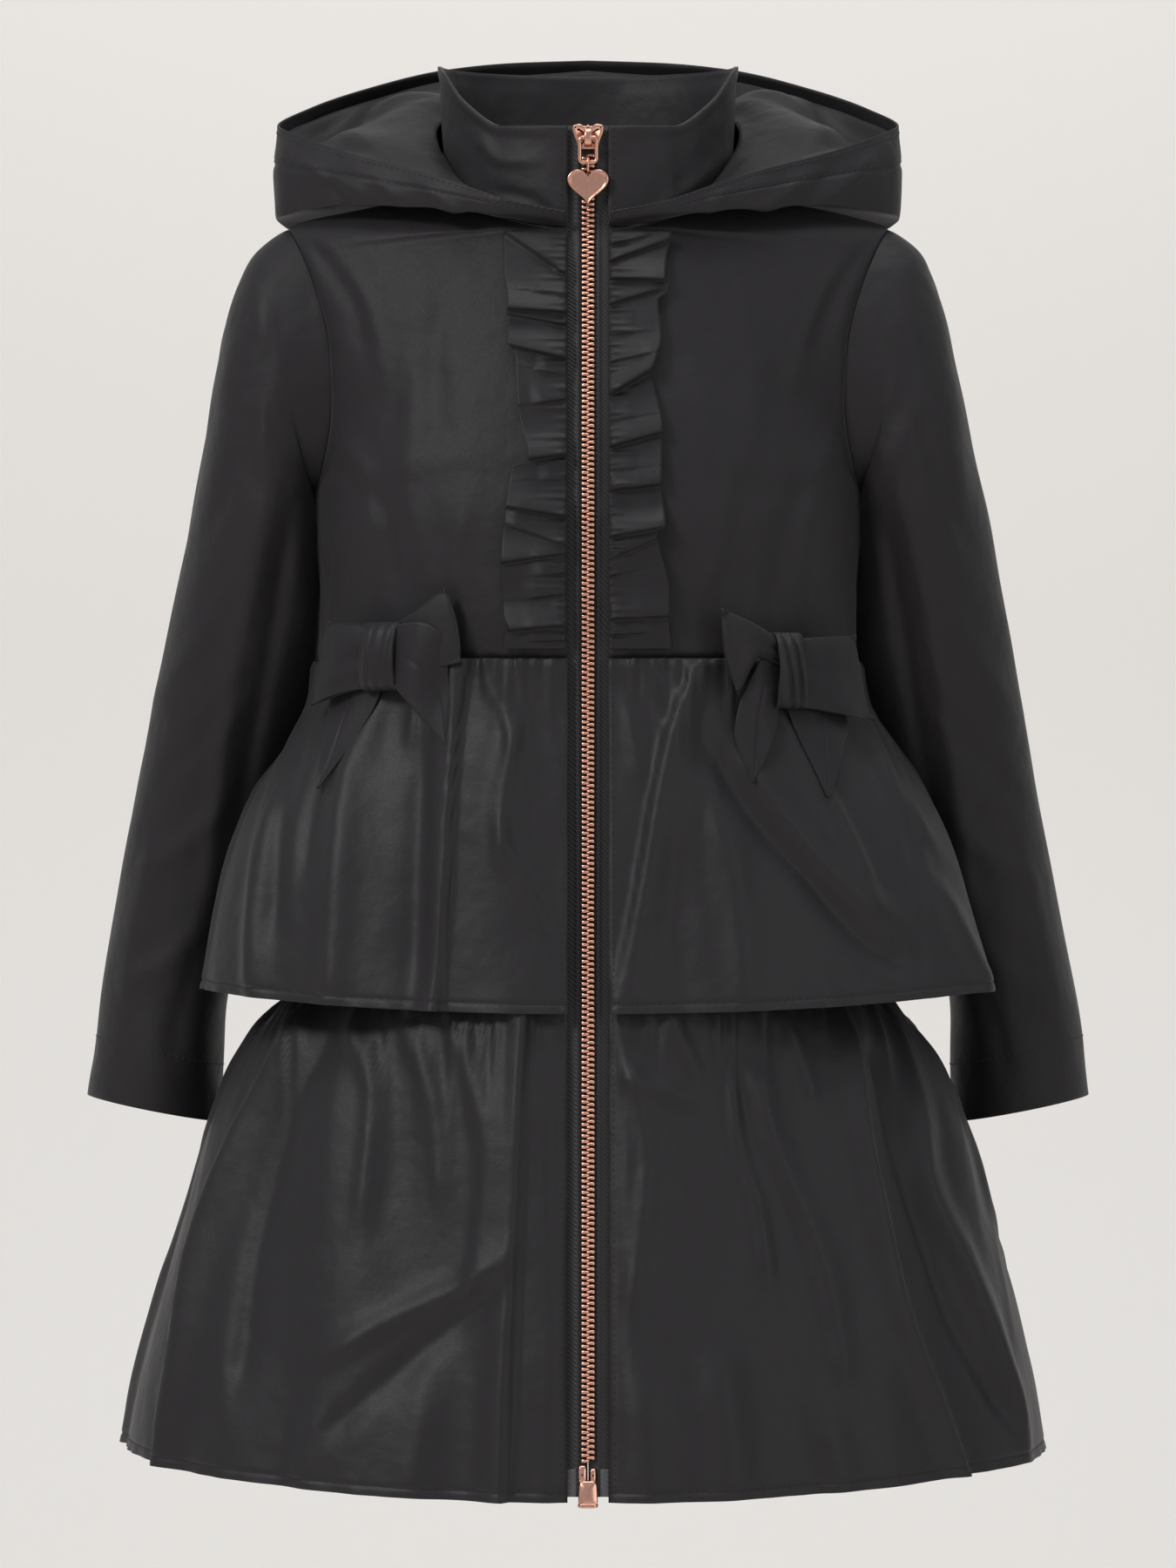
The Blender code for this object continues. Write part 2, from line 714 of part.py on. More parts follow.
def hood_grid(angle, rise):
    """Gives the right half of the hood from the neck seam out and up to the rim."""
    size = {name: HOOD.at(name, angle) for name in HOOD.names[1:]}
    start = neck_point(angle) + neck_out(angle) * 0.7
    start[:, 2] += 0.6
    rim = np.stack([size["rim_x"], size["rim_y"], size["rim_z"]], axis=-1)
    stations = [start]
    for place in ("low", "wide", "high"):
        point = start + (rim - start) * size[place][:, None]
        point[:, 2] = size[place + "_z"]
        stations.append(point)
    stations.append(rim)
    stations = np.array(stations)
    grid = np.zeros((len(rise), len(angle), 3))
    for c in range(len(angle)):
        rows = [(share, *stations[i, c]) for i, share in enumerate((0, 0.22, 0.5, 0.74, 1))]
        way = Table("share x y z", rows)
        for k, name in enumerate("xyz"):
            grid[:, c, k] = way.at(name, rise)
    return grid


def add_hood():
    angle = np.concatenate([np.linspace(0, 90, 10), np.linspace(99, 180, 8)])
    rise = np.linspace(0, 1, 8)
    half = hood_grid(angle, rise)
    out = grid_normals(half)
    if out[2, 9, 2] > 0:
        out = -out
    out[:, -1, 0] = 0
    inner = half - unit(out) * CLOTH
    add_wall("hood_shell", both_sides(half), both_sides(inner), CLOTH_LOOK)

    angle = np.linspace(24, 180, 17)
    lean = COLLAR_TOP.at("lean", angle)[:, None].clip(0)
    start = neck_point(angle) + neck_out(angle) * (lean + 1.0)
    size = {name: HOOD.at(name, angle) for name in HOOD.names[1:]}
    rim = np.stack([size["rim_x"], size["rim_y"], size["rim_z"]], axis=-1)
    end = rim - unit((rim - start) * (1, 1, 0)) * 4.6
    stations = (0, 0.3, 0.6, 0.85, 1)
    share = np.linspace(0, 1, 7)
    upper = start + (end - start) * share[:, None, None]
    heights = np.array([LINING.at(name, angle) for name in LINING.names[1:]])
    for c in range(len(angle)):
        upper[:, c, 2] = Table("share z", list(zip(stations, heights[:, c]))).at("z", share)
    out = grid_normals(upper)
    if out[3, 8, 2] < 0:
        out = -out
    out[:, -1, 0] = 0
    lower = upper - unit(out) * THIN
    add_wall("hood_lining", both_sides(upper), both_sides(lower), INSIDE_LOOK)


# Ruffles beside the zip.


def ruffle_grid(side, rows, cols):
    """Gives a ruffle's outer points, made from the front's points moved out."""
    front = bodice_grid(False, BODICE_COLS)[: NECK_ROW + 1]
    z = np.linspace(RUFFLE_FOOT, RUFFLE_TOP, rows)[:, None]
    width = RUFFLE_WIDTH.at("left" if side < 0 else "right", z)
    share = np.linspace(0, 1, cols)[None, :]
    x = ZIP_EDGE + 0.5 + width * share
    start_z = front[:, 0, 2]
    row = np.interp(z, start_z, np.arange(NECK_ROW + 1.0))
    y = np.zeros(x.shape)
    for r in range(rows):
        low = int(min(row[r, 0], NECK_ROW - 1))
        part = row[r, 0] - low
        line = front[low] * (1 - part) + front[low + 1] * part
        y[r] = np.interp(x[r], line[:, 0], line[:, 1])
    turn = (z - RUFFLE_FOOT) / (RUFFLE_TOP - RUFFLE_FOOT) * RUFFLE_WAVES
    number = np.floor(turn)
    size = 0.75 + 0.25 * np.sin(2.1 * number + 1.9 * side)
    wave = 0.5 - 0.5 * np.cos(2 * math.pi * turn + 0.8 * share * side)
    lift = THIN + 0.45 + 1.2 * share + wave * size * (0.3 + 5.0 * share)
    grid = np.stack([side * x, y - lift, np.broadcast_to(z, x.shape)], axis=-1)
    grid[..., 2] += 1.6 * share * np.sin(2 * math.pi * turn)
    return grid


def add_ruffles():
    for word, side in (("left", LEFT), ("right", RIGHT)):
        outer = ruffle_grid(side, 4 * RUFFLE_WAVES + 1, 4)
        inner = outer + (0, THIN, 0)
        add_wall(f"ruffle_{word}", outer, inner, CLOTH_LOOK)


# Bows on the waist seam.


class Ground:
    """The surface a bow lies on: the short tier, carried straight up over the bodice."""

    def __init__(self, bow):
        self.side = bow.side
        self.z = bow.z
        angle = np.linspace(0, 180, 181)
        points, _ = ring(PEPLUM, np.full(181, bow.side), angle, np.full(181, -190.0))
        steps = np.linalg.norm(np.diff(points, axis=0), axis=1)
        self.arcs = np.concatenate([[0], np.cumsum(steps)])
        self.angles = angle
        self.middle = np.interp(bow.angle, angle, self.arcs)

    def point(self, along, up, out):
        """Gives a point along mm towards the side, up mm and out mm from the knot."""
        along, up, out = np.broadcast_arrays(along, up, out)
        angle = np.interp(self.middle + along, self.arcs, self.angles)
        z = self.z + up
        points, level = ring(PEPLUM, np.full(z.shape, self.side), angle, np.minimum(z, WAIST))
        points = points + level * out[..., None]
        points[..., 2] = z
        return points


def offset_path(path, by):
    """Moves a line in its own plane to one side."""
    path = np.asarray(path, dtype=float)
    step = unit(np.gradient(path, axis=0))
    return path + np.stack([-step[:, 1], step[:, 0]], axis=-1) * by


def add_bow(word, bow):
    ground = Ground(bow)
    across = np.linspace(-1, 1, 5)
    for part, loop in zip(("outer", "inner"), bow.loops):
        path = np.array(LOOP_PATH) * (loop.length, 1) + (2.0, 0)
        share = np.array(LOOP_PATH)[:, 0]
        half = 8.5 + (loop.half - 8.5) * ease(share, 0.12, 0.9)
        grids = []
        for line in (path, offset_path(path, THIN)):
            along = line[:, :1] * loop.toward
            up = half[:, None] * across + loop.lift * share[:, None]
            grids.append(ground.point(along, up, line[:, 1:]))
        add_wall(f"bow_{word}_loop_{part}", *grids, CLOTH_LOOK)
    for part, tail, proud in zip(("outer", "inner"), bow.tails, (5.7, 4.2)):
        way = np.linspace(0, 1, 6)
        half = tail.half * np.interp(way, (0, 0.3, 0.65, 1), (0.45, 1.0, 0.9, 0.06))
        root = np.sign(tail.foot) * 6.5
        along = root + (tail.foot - root) * way**0.8
        lean = tail.lean * way[:, None]
        grids = []
        rise = TAIL_ROOT + (proud - TAIL_ROOT) * ease(way, 0, 0.3)[:, None]
        for out in (rise, rise - THIN):
            cross = along[:, None] + half[:, None] * np.linspace(-1, 1, 4) + lean
            up = -3 + (tail.drop + 3) * way[:, None]
            grids.append(ground.point(cross, up, out))
        add_wall(f"bow_{word}_tail_{part}", *grids, CLOTH_LOOK)
    grids = []
    for line in (np.array(KNOT_ARCH), offset_path(KNOT_ARCH, -CLOTH)):
        along = np.linspace(-1, 1, 4)[None, :] * KNOT_HALF
        bulge = 0.8 * (1 - (along / KNOT_HALF) ** 2)
        grids.append(ground.point(along, line[:, :1], line[:, 1:] + bulge))
    add_wall(f"bow_{word}_knot", *grids, CLOTH_LOOK)


# Zip, slider and pull.


def add_box(name, low, high, look, origin=(0, 0, 0)):
    corners = [(x, y, z) for x in (low[0], high[0]) for y in (low[1], high[1]) for z in (low[2], high[2])]
    quads = ((0, 1, 3, 2), (4, 6, 7, 5), (0, 4, 5, 1), (2, 3, 7, 6), (0, 2, 6, 4), (1, 5, 7, 3))
    faces = [face for a, b, c, d in quads for face in ((a, b, c), (a, c, d))]
    return add_object(name, corners, faces, look, origin)


def strip_grids(low_x, high_x, front, back, top, foot):
    """Gives a strip that follows the front line; front and back are how far behind it."""
    rows = FRONT_LINE.columns[0]
    z = np.array([foot, *rows[(rows > foot + 5) & (rows < top - 5)], top])
    y = FRONT_LINE.at("y", z)
    grids = []
    for behind in (front, back):
        lines = [np.stack([np.full(len(z), x), y + behind, z], axis=-1) for x in (low_x, high_x)]
        grids.append(np.stack(lines, axis=1))
    return grids


def add_ring(name, path, radius, look, sides=8, origin=(0, 0, 0)):
    """Makes a closed wire round a flat path of points."""
    path = np.asarray(path, dtype=float)
    ahead = unit(np.roll(path, -1, axis=0) - np.roll(path, 1, axis=0))
    flat = unit(np.cross(path[1] - path[0], path[2] - path[0]))
    side = np.cross(ahead, flat)
    turn = np.linspace(0, 2 * math.pi, sides, endpoint=False)
    points = (
        path[:, None]
        + side[:, None] * np.cos(turn)[None, :, None] * radius
        + flat[None, None] * np.sin(turn)[None, :, None] * radius
    )
    count = len(path)
    faces = []
    for i in range(count):
        for j in range(sides):
            a = i * sides + j
            b = i * sides + (j + 1) % sides
            c = (i + 1) % count * sides + (j + 1) % sides
            d = (i + 1) % count * sides + j
            faces += [(a, b, c), (a, c, d)]
    return add_object(name, points.reshape(-1, 3), faces, look, origin)


def heart_outline(count=32):
    """Gives a heart's outline, from the notch round to the notch."""
    turn = np.linspace(0, 2 * math.pi, count, endpoint=False)
    x = 16 * np.sin(turn) ** 3
    z = 13 * np.cos(turn) - 5 * np.cos(2 * turn) - 2 * np.cos(3 * turn) - np.cos(4 * turn)
    x = x / 16 * HEART_HALF
    z = HEART_FOOT + (z - z.min()) / (z.max() - z.min()) * (HEART_TOP - HEART_FOOT)
    notch = RING_LOW - RING_RADIUS - RING_WIRE - GAP
    z = np.where(np.abs(x) < 1.4, np.minimum(z, notch), z)
    return np.stack([x, z], axis=-1)


def add_zip():
    tape_top, tape_foot, chain_foot = 41.5, -538.0, -527.0
    for word, side in (("left", LEFT), ("right", RIGHT)):
        grids = strip_grids(side * 3.8, side * 13, 2.1, 2.9, tape_top, tape_foot)
        add_wall(f"zip_tape_{word}", *grids, CLOTH_LOOK)
    neck_top, neck_foot = 30.2, -1.5
    grids = strip_grids(-3.4, 3.4, -0.6, 2.2, neck_top, neck_foot)
    add_wall("zip_chain_neck", *grids, METAL_LOOK)
    grids = strip_grids(-3.4, 3.4, -0.6, 2.2, neck_foot - GAP, chain_foot)
    add_wall("zip_chain", *grids, METAL_LOOK)
    foot_y = FRONT_LINE.at("y", -535)
    add_box("zip_box", (-4.3, foot_y - 1.6, -542.5), (4.3, foot_y + 1.6, -527.4), METAL_LOOK)
    add_box("zip_slider", (-6.8, -53.0, 30.6), (6.8, -50.3, 41.8), METAL_LOOK)

    arch = (
        (31.4, -53.3),
        (31.6, -56.2),
        (33.0, -57.9),
        (35.5, -58.5),
        (38.0, -57.9),
        (39.4, -56.2),
        (39.6, -53.3),
    )
    grids = []
    for line in (np.array(arch), offset_path(arch, 1.1)):
        x = np.broadcast_to(np.array([-1.6, 1.6]), (len(arch), 2))
        y = np.broadcast_to(line[:, 1:], x.shape)
        z = np.broadcast_to(line[:, :1], x.shape)
        grids.append(np.stack([x, y, z], axis=-1))
    add_wall("zip_bridge", *grids, METAL_LOOK)

    link_pin = (0, PULL_Y, LINK_TOP)
    corner = 1.2
    half, top, foot = LINK_HALF, LINK_TOP, LINK_FOOT
    path = [
        (half - corner, top),
        (half, top - corner),
        (half, foot + corner),
        (half - corner, foot),
        (corner - half, foot),
        (-half, foot + corner),
        (-half, top - corner),
        (corner - half, top),
    ]
    path = [(x, PULL_Y, z) for x, z in path]
    add_ring("pull_link", path, LINK_WIRE, METAL_LOOK, origin=link_pin)

    heart_pin = (0, PULL_Y, LINK_FOOT)
    path = []
    for first, middle in ((0, LINK_FOOT), (180, RING_LOW)):
        for turn in np.radians(np.linspace(first, first + 180, 7)):
            y = PULL_Y + RING_RADIUS * math.cos(turn)
            path.append((0, y, middle + RING_RADIUS * math.sin(turn)))
    add_ring("pull_ring", path, RING_WIRE, METAL_LOOK, origin=heart_pin)

    outline = heart_outline()
    count = len(outline)
    points = []
    for y in (PULL_Y - HEART_THICK / 2, PULL_Y + HEART_THICK / 2):
        points += [(x, y, z) for x, z in outline]
        points.append((0, y, (HEART_TOP + HEART_FOOT) / 2))
    faces = []
    back = count + 1
    for i in range(count):
        j = (i + 1) % count
        faces += [(i, j, count), (back + j, back + i, back + count)]
        faces += [(j, i, back + i), (j, back + i, back + j)]
    add_object("pull_heart", points, faces, METAL_LOOK, origin=heart_pin)


def build():
    clear_scene()
    add_bodice()
    add_sleeves()
    add_collar()
    add_hood()
    add_ruffles()
    add_tiers()
    for word, bow in zip(("left", "right"), BOWS):
        add_bow(word, bow)
    add_zip()


build()
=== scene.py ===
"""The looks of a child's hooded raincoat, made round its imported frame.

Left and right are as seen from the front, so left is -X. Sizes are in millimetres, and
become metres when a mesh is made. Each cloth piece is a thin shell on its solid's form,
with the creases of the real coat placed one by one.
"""

import math
from collections import namedtuple

import bpy
import numpy as np
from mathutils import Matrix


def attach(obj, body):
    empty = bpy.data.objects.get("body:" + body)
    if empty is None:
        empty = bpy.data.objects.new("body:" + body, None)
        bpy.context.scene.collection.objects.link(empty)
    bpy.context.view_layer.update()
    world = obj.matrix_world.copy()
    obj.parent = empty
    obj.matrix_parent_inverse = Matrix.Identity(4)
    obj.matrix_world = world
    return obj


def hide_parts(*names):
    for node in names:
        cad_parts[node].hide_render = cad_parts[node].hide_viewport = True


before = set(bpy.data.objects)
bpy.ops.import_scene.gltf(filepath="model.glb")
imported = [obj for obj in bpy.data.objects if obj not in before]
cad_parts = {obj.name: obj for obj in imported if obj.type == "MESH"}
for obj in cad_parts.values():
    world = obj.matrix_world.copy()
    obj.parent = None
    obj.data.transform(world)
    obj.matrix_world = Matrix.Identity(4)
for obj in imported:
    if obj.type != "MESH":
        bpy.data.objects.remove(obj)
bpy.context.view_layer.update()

MM = 0.001
LEFT = -1
RIGHT = 1
BODY = "coat"
GAP = 0.3
SHELL = 0.9  # thickness of the fine shells
ZIP_EDGE = 8.5
WAIST = -188.0
HIP = -334.0


def curve(xs, ys, key):
    """Runs a soft curve through rows of values, which may be whole lines of points."""
    xs = np.asarray(xs, dtype=float)
    ys = np.asarray(ys, dtype=float)
    key = np.clip(np.asarray(key, dtype=float), xs[0], xs[-1])
    wide = (slice(None),) + (None,) * (ys.ndim - 1)
    steps = np.diff(xs)
    slopes = np.diff(ys, axis=0) / steps[wide]
    before, after = slopes[:-1], slopes[1:]
    total = np.where(before + after == 0, 1.0, before + after)
    inside = np.where(before * after > 0, 2 * before * after / total, 0.0)
    lean = np.concatenate([slopes[:1], inside, slopes[-1:]])
    i = np.clip(np.searchsorted(xs, key) - 1, 0, len(xs) - 2)
    more = (...,) + (None,) * (ys.ndim - 1)
    step = steps[i][more]
    t = ((key - xs[i]) / steps[i])[more]
    s = 1 - t
    return (
        ys[i] * s * s * (1 + 2 * t)
        + ys[i + 1] * t * t * (1 + 2 * s)
        + step * t * s * (lean[i] * s - lean[i + 1] * t)
    )


class Table:
    """A short table of sizes, read between its rows on a soft curve."""

    def __init__(self, names, rows):
        self.names = names.split()
        self.columns = np.array(sorted(rows), dtype=float).T

    def at(self, name, key):
        return curve(self.columns[0], self.columns[self.names.index(name)], key)


def ease(value, low, high):
    """Runs softly from 0 at low to 1 at high."""
    t = np.clip((value - low) / (high - low), 0, 1)
    return t * t * (3 - 2 * t)


# Where the middle of the front runs, from the top of the zip to the hem.
FRONT_LINE = Table(
    "z y",
    [
        (41, -50),
        (20, -52),
        (-3, -54),
        (-14, -59),
        (-33, -66),
        (-55, -73),
        (-80, -80),
        (-105, -85),
        (-130, -88),
        (-160, -88),
        (-188, -86),
        (-240, -91),
        (-300, -99),
        (-334, -104),
        (-385, -113),
        (-424, -121),
        (-469, -130),
        (-500, -136),
        (-545, -143),
    ],
)

# The tiers: half widths, depth behind, where the widest place is, and how far the front
# stands out from the front line.
YOKE = Table(
    "z half_left half_right back middle proud",
    [
        (-188, 117, 117, 74, 0, 0),
        (-204, 117.5, 117.5, 75, 0, 0),
        (-240, 120, 120, 78, 0, 0),
        (-300, 126, 126, 84, 0, 0),
        (-334, 131, 131, 89, 0, 0),
    ],
)
PEPLUM = Table(
    "z half_left half_right back middle proud",
    [
        (-188, 119.3, 119.3, 76.3, 0, 2.3),
        (-204, 121.5, 121.5, 79, -2, 2.5),
        (-222, 130.5, 131, 87, -6, 3),
        (-241, 142, 143, 96, -11, 3.5),
        (-257, 149.5, 151, 103, -17, 4),
        (-280, 157, 159.5, 110, -23, 4.5),
        (-311, 162.5, 168, 117, -28, 5),
        (-350, 167.5, 179, 125, -30, 6),
    ],
)
SKIRT = Table(
    "z half_left half_right back middle proud",
    [
        (-334, 131, 131, 89, 0, 0),
        (-350, 143, 143, 98, -2, 0),
        (-385, 160.5, 160.5, 112, -4, 0),
        (-424, 173.7, 173.7, 124, -5, 0),
        (-469, 187.7, 187.7, 136, -5, 0),
        (-500, 195, 195, 143, -5, 0),
        (-540, 201.4, 201.4, 150, -5, 0),
    ],
)

# The heights of a tier's edges: its seam above, and its hem at the zip, side and back.
Tier = namedtuple("Tier", "form top hem_front hem_side hem_back")
PEPLUM_TIER = Tier(PEPLUM, WAIST, -338, -330, -347)
SKIRT_TIER = Tier(SKIRT, HIP, -540, -530, -538)

# The bodice, row by row from the waist to the shoulder: the height at the middle or the
# angle round the neck, the height at the side seam or the angle round the armhole, and how
# far round a quarter circle the row sweeps.
BodiceRow = namedtuple("BodiceRow", "middle_z back_y neck side_z armhole sweep")
BODICE_ROWS = (
    BodiceRow(-188, 74.0, None, -188, None, 90),
    BodiceRow(-160, 74.0, None, -160, None, 90),
    BodiceRow(-130, 74.0, None, -135, None, 90),
    BodiceRow(-105, 73.5, None, None, 180, 90),
    BodiceRow(-80, 72.5, None, None, 140, 76),
    BodiceRow(-55, 70.0, None, None, 110, 64),
    BodiceRow(-33, 66.0, None, None, 85, 56),
    BodiceRow(-14, 60.0, None, None, 62, 49),
    BodiceRow(None, None, 0, None, 44, 42),
    BodiceRow(None, None, 15, None, 36, 38),
    BodiceRow(None, None, 30, None, 28, 35),
    BodiceRow(None, None, 45, None, 21, 31),
    BodiceRow(None, None, 60, None, 14, 28),
    BodiceRow(None, None, 75, None, 7, 24),
    BodiceRow(None, None, 90, None, 0, 20),
)
NECK_ROW = 8  # the first row that ends on the neck
SIDE_X = Table("z x", [(-188, 117), (-160, 117), (-135, 119), (-118, 120)])

# The sleeve, ring by ring from the shoulder to the cuff: its outermost and innermost
# points, the middle of its depth and half its depth.
SLEEVE = Table(
    "ring out_x out_z in_x in_z middle depth",
    [
        (0, 131.3, 2, 120.3, -118, 0, 31),
        (1, 147, -13, 121.8, -121, 2, 35),
        (2, 158, -44, 121.8, -130, 5, 37),
        (3, 165, -77, 120.8, -147, 9, 37.5),
        (4, 173, -115, 119.6, -172, 16, 37),
        (5, 183, -165, 124.5, -205, 28, 36.5),
        (6, 195.4, -226, 138, -254, 43, 36),
        (7, 206.8, -281, 153, -302, 53, 36),
        (8, 217, -336, 161, -350, 58, 36.5),
        (9, 222.5, -379, 162, -391, 58, 35.5),
    ],
)
SLEEVE_CREASES = (0, 0, 1.6, 0.4, 1.8, 0.5, 1.9, 0.4, 1.4, 0)

# The collar's upper edge by the angle round the neck.
COLLAR_TOP = Table(
    "angle z lean",
    [(0, 41, -4), (35, 42, -3), (55, 53, 1), (75, 68, 3), (90, 72, 3), (180, 73, 4)],
)

# The hood, laid open round the collar. Each row is one direction from the neck: where the
# rim is, and the reach (1 is the rim) and height of three places under it.
HOOD = Table(
    "angle rim_x rim_y rim_z low low_z wide wide_z high high_z",
    [
        (0, 9.6, -60.0, 3.4, 0.4, -1.2, 0.65, 0.3, 0.85, 1.8),
        (20, 33, -62.0, 8, 0.5, 0.6, 0.85, 1.8, 1.0, 4.5),
        (35, 53, -58, 15, 0.5, 3.6, 0.98, 3.6, 1.06, 8.8),
        (50, 76, -46, 23, 0.5, 8.6, 1.05, 6.6, 1.1, 14),
        (70, 105, -28, 32, 0.5, 12.5, 1.06, 8.5, 1.08, 20),
        (90, 128, -6, 42, 0.5, 12.6, 1.07, 6.6, 1.08, 24),
        (100, 136, 10, 47, 0.5, 13, 1.0, 5.5, 1.02, 26),
        (115, 122, 32, 57, 0.5, 12, 1.06, -1, 1.09, 30),
        (130, 99, 51, 67, 0.5, 9.5, 1.3, -12, 1.38, 30),
        (150, 64, 75, 78, 0.5, 4.5, 1.6, -30, 1.8, 24),
        (165, 33, 88, 82.5, 0.5, 2, 1.72, -39, 2.0, 21),
        (180, 0, 92, 84, 0.5, 1, 1.75, -42, 2.08, 20),
    ],
)

# The cloth inside the hood: its height beside the collar, at three places on the way out
# and under the rim.
LINING = Table(
    "angle z0 z30 z60 z85 z100",
    [
        (24, 5, 5.4, 6, 6.4, 6.8),
        (50, 15, 18, 19, 19.5, 20),
        (70, 31, 34, 32, 29, 28.5),
        (90, 43, 46, 44, 34, 37),
        (110, 50, 55, 49, 44, 49),
        (130, 52, 61, 65, 63, 62),
        (150, 34, 45, 58, 69, 73),
        (180, 24, 30, 44, 68, 79),
    ],
)



def unit(vectors):
    return vectors / np.linalg.norm(vectors, axis=-1, keepdims=True)


def mirrored(points):
    return points * np.array([-1.0, 1.0, 1.0])


def both_sides(half):
    """Joins a right half to its mirror image, along the centre back column."""
    return np.concatenate([mirrored(half), half[:, -2::-1]], axis=1)


def grid_normals(grid, closed=False):
    """Gives the directions square to a grid; the caller picks the side."""
    along = np.gradient(grid, axis=0)
    if closed:
        across = np.roll(grid, -1, axis=1) - np.roll(grid, 1, axis=1)
    else:
        across = np.gradient(grid, axis=1)
    return unit(np.cross(across, along))


def pull_back(grid, edges, by=GAP / 2):
    """Moves the named edges of a grid in, to leave half a seam's gap."""
    grid = grid.copy()
    for edge in edges:
        first, second = {
            "bottom": (np.s_[0], np.s_[1]),
            "top": (np.s_[-1], np.s_[-2]),
            "start": (np.s_[:, 0], np.s_[:, 1]),
            "end": (np.s_[:, -1], np.s_[:, -2]),
        }[edge]
        step = grid[second] - grid[first]
        grid[first] += step * by / np.linalg.norm(step, axis=-1, keepdims=True)
    return grid


# Materials.


def new_material(name, colour, roughness, metallic=0.0):
    material = bpy.data.materials.new(name)
    material.use_nodes = True
    shader = material.node_tree.nodes["Principled BSDF"]
    shader.inputs["Base Color"].default_value = (*colour, 1.0)
    shader.inputs["Roughness"].default_value = roughness
    shader.inputs["Metallic"].default_value = metallic
    return material, material.node_tree, shader


def add_noise(tree, scale, detail=2.0):
    """Adds an even noise, with its scale given per metre."""
    where = tree.nodes.new("ShaderNodeTexCoord")
    noise = tree.nodes.new("ShaderNodeTexNoise")
    noise.inputs["Scale"].default_value = scale
    noise.inputs["Detail"].default_value = detail
    tree.links.new(where.outputs["Object"], noise.inputs["Vector"])
    return noise.outputs["Fac"]


def add_bumps(tree, shader, layers):
    """Piles up bump layers, each a height, a strength and a depth in metres."""
    normal = None
    for height, strength, depth in layers:
        bump = tree.nodes.new("ShaderNodeBump")
        bump.inputs["Strength"].default_value = strength
        bump.inputs["Distance"].default_value = depth
        tree.links.new(height, bump.inputs["Height"])
        if normal:
            tree.links.new(normal, bump.inputs["Normal"])
        normal = bump.outputs["Normal"]
    tree.links.new(normal, shader.inputs["Normal"])


def vary(tree, shader, socket, source, low, high):
    """Spreads an input between two values by a noise."""
    spread = tree.nodes.new("ShaderNodeMapRange")
    spread.inputs["From Min"].default_value = 0.3
    spread.inputs["From Max"].default_value = 0.7
    spread.inputs["To Min"].default_value = low
    spread.inputs["To Max"].default_value = high
    tree.links.new(source, spread.inputs["Value"])
    tree.links.new(spread.outputs["Result"], shader.inputs[socket])


def cloth_material(name, colour, roughness, sheen, crumple=0.5, shine=0.26):
    """A thin coated cloth: a fine grain, a soft crumple and a dull shine."""
    material, tree, shader = new_material(name, colour, roughness)
    shader.inputs["Sheen Weight"].default_value = sheen
    shader.inputs["Sheen Roughness"].default_value = 0.45
    shader.inputs["Specular IOR Level"].default_value = shine
    grain = add_noise(tree, 2600, 1.0)
    soft = add_noise(tree, 95, 3.0)
    wide = add_noise(tree, 38, 2.0)
    vary(tree, shader, "Roughness", grain, roughness - 0.07, roughness + 0.07)
    layers = ((wide, crumple, 0.0024), (soft, crumple, 0.0012), (grain, 0.4, 0.00014))
    add_bumps(tree, shader, layers)
    return material


def tape_material(name, colour, roughness=0.6):
    """A woven tape with slanting ribs."""
    material, tree, shader = new_material(name, colour, roughness)
    where = tree.nodes.new("ShaderNodeTexCoord")
    ribs = tree.nodes.new("ShaderNodeTexWave")
    ribs.wave_type = "BANDS"
    ribs.bands_direction = "DIAGONAL"
    ribs.inputs["Scale"].default_value = 280
    tree.links.new(where.outputs["Object"], ribs.inputs["Vector"])
    add_bumps(tree, shader, ((ribs.outputs["Fac"], 0.5, 0.0003),))
    return material


def thread_material(name, colour):
    """A twisted thread."""
    material, tree, shader = new_material(name, colour, 0.55)
    twist = add_noise(tree, 5200, 1.0)
    vary(tree, shader, "Roughness", twist, 0.45, 0.7)
    add_bumps(tree, shader, ((twist, 0.4, 0.0001),))
    return material


def metal_material(name, colour, roughness):
    material, tree, shader = new_material(name, colour, roughness, 1.0)
    cloud = add_noise(tree, 700, 2.0)
    vary(tree, shader, "Roughness", cloud, roughness - 0.05, roughness + 0.08)
    add_bumps(tree, shader, ((cloud, 0.15, 0.0001),))
    return material


CLOTH = cloth_material("rain_cloth", (0.0158, 0.0138, 0.0155), 0.56, 0.07, 0.5)
TIERED = cloth_material("rain_cloth_tiers", (0.0152, 0.0133, 0.0149), 0.5, 0.06, 0.4, 0.3)
CRISP = cloth_material("rain_cloth_trim", (0.0138, 0.0120, 0.0136), 0.5, 0.05, 0.3)
INSIDE = cloth_material("inside_cloth", (0.0105, 0.0094, 0.0106), 0.56, 0.04)
TAPE = tape_material("zip_tape", (0.012, 0.011, 0.012))
FILM = tape_material("tape_film", (0.085, 0.083, 0.088), 0.3)
THREAD = thread_material("thread", (0.016, 0.014, 0.017))
METAL = metal_material("rose_metal", (0.76, 0.42, 0.31), 0.24)


# Meshes.


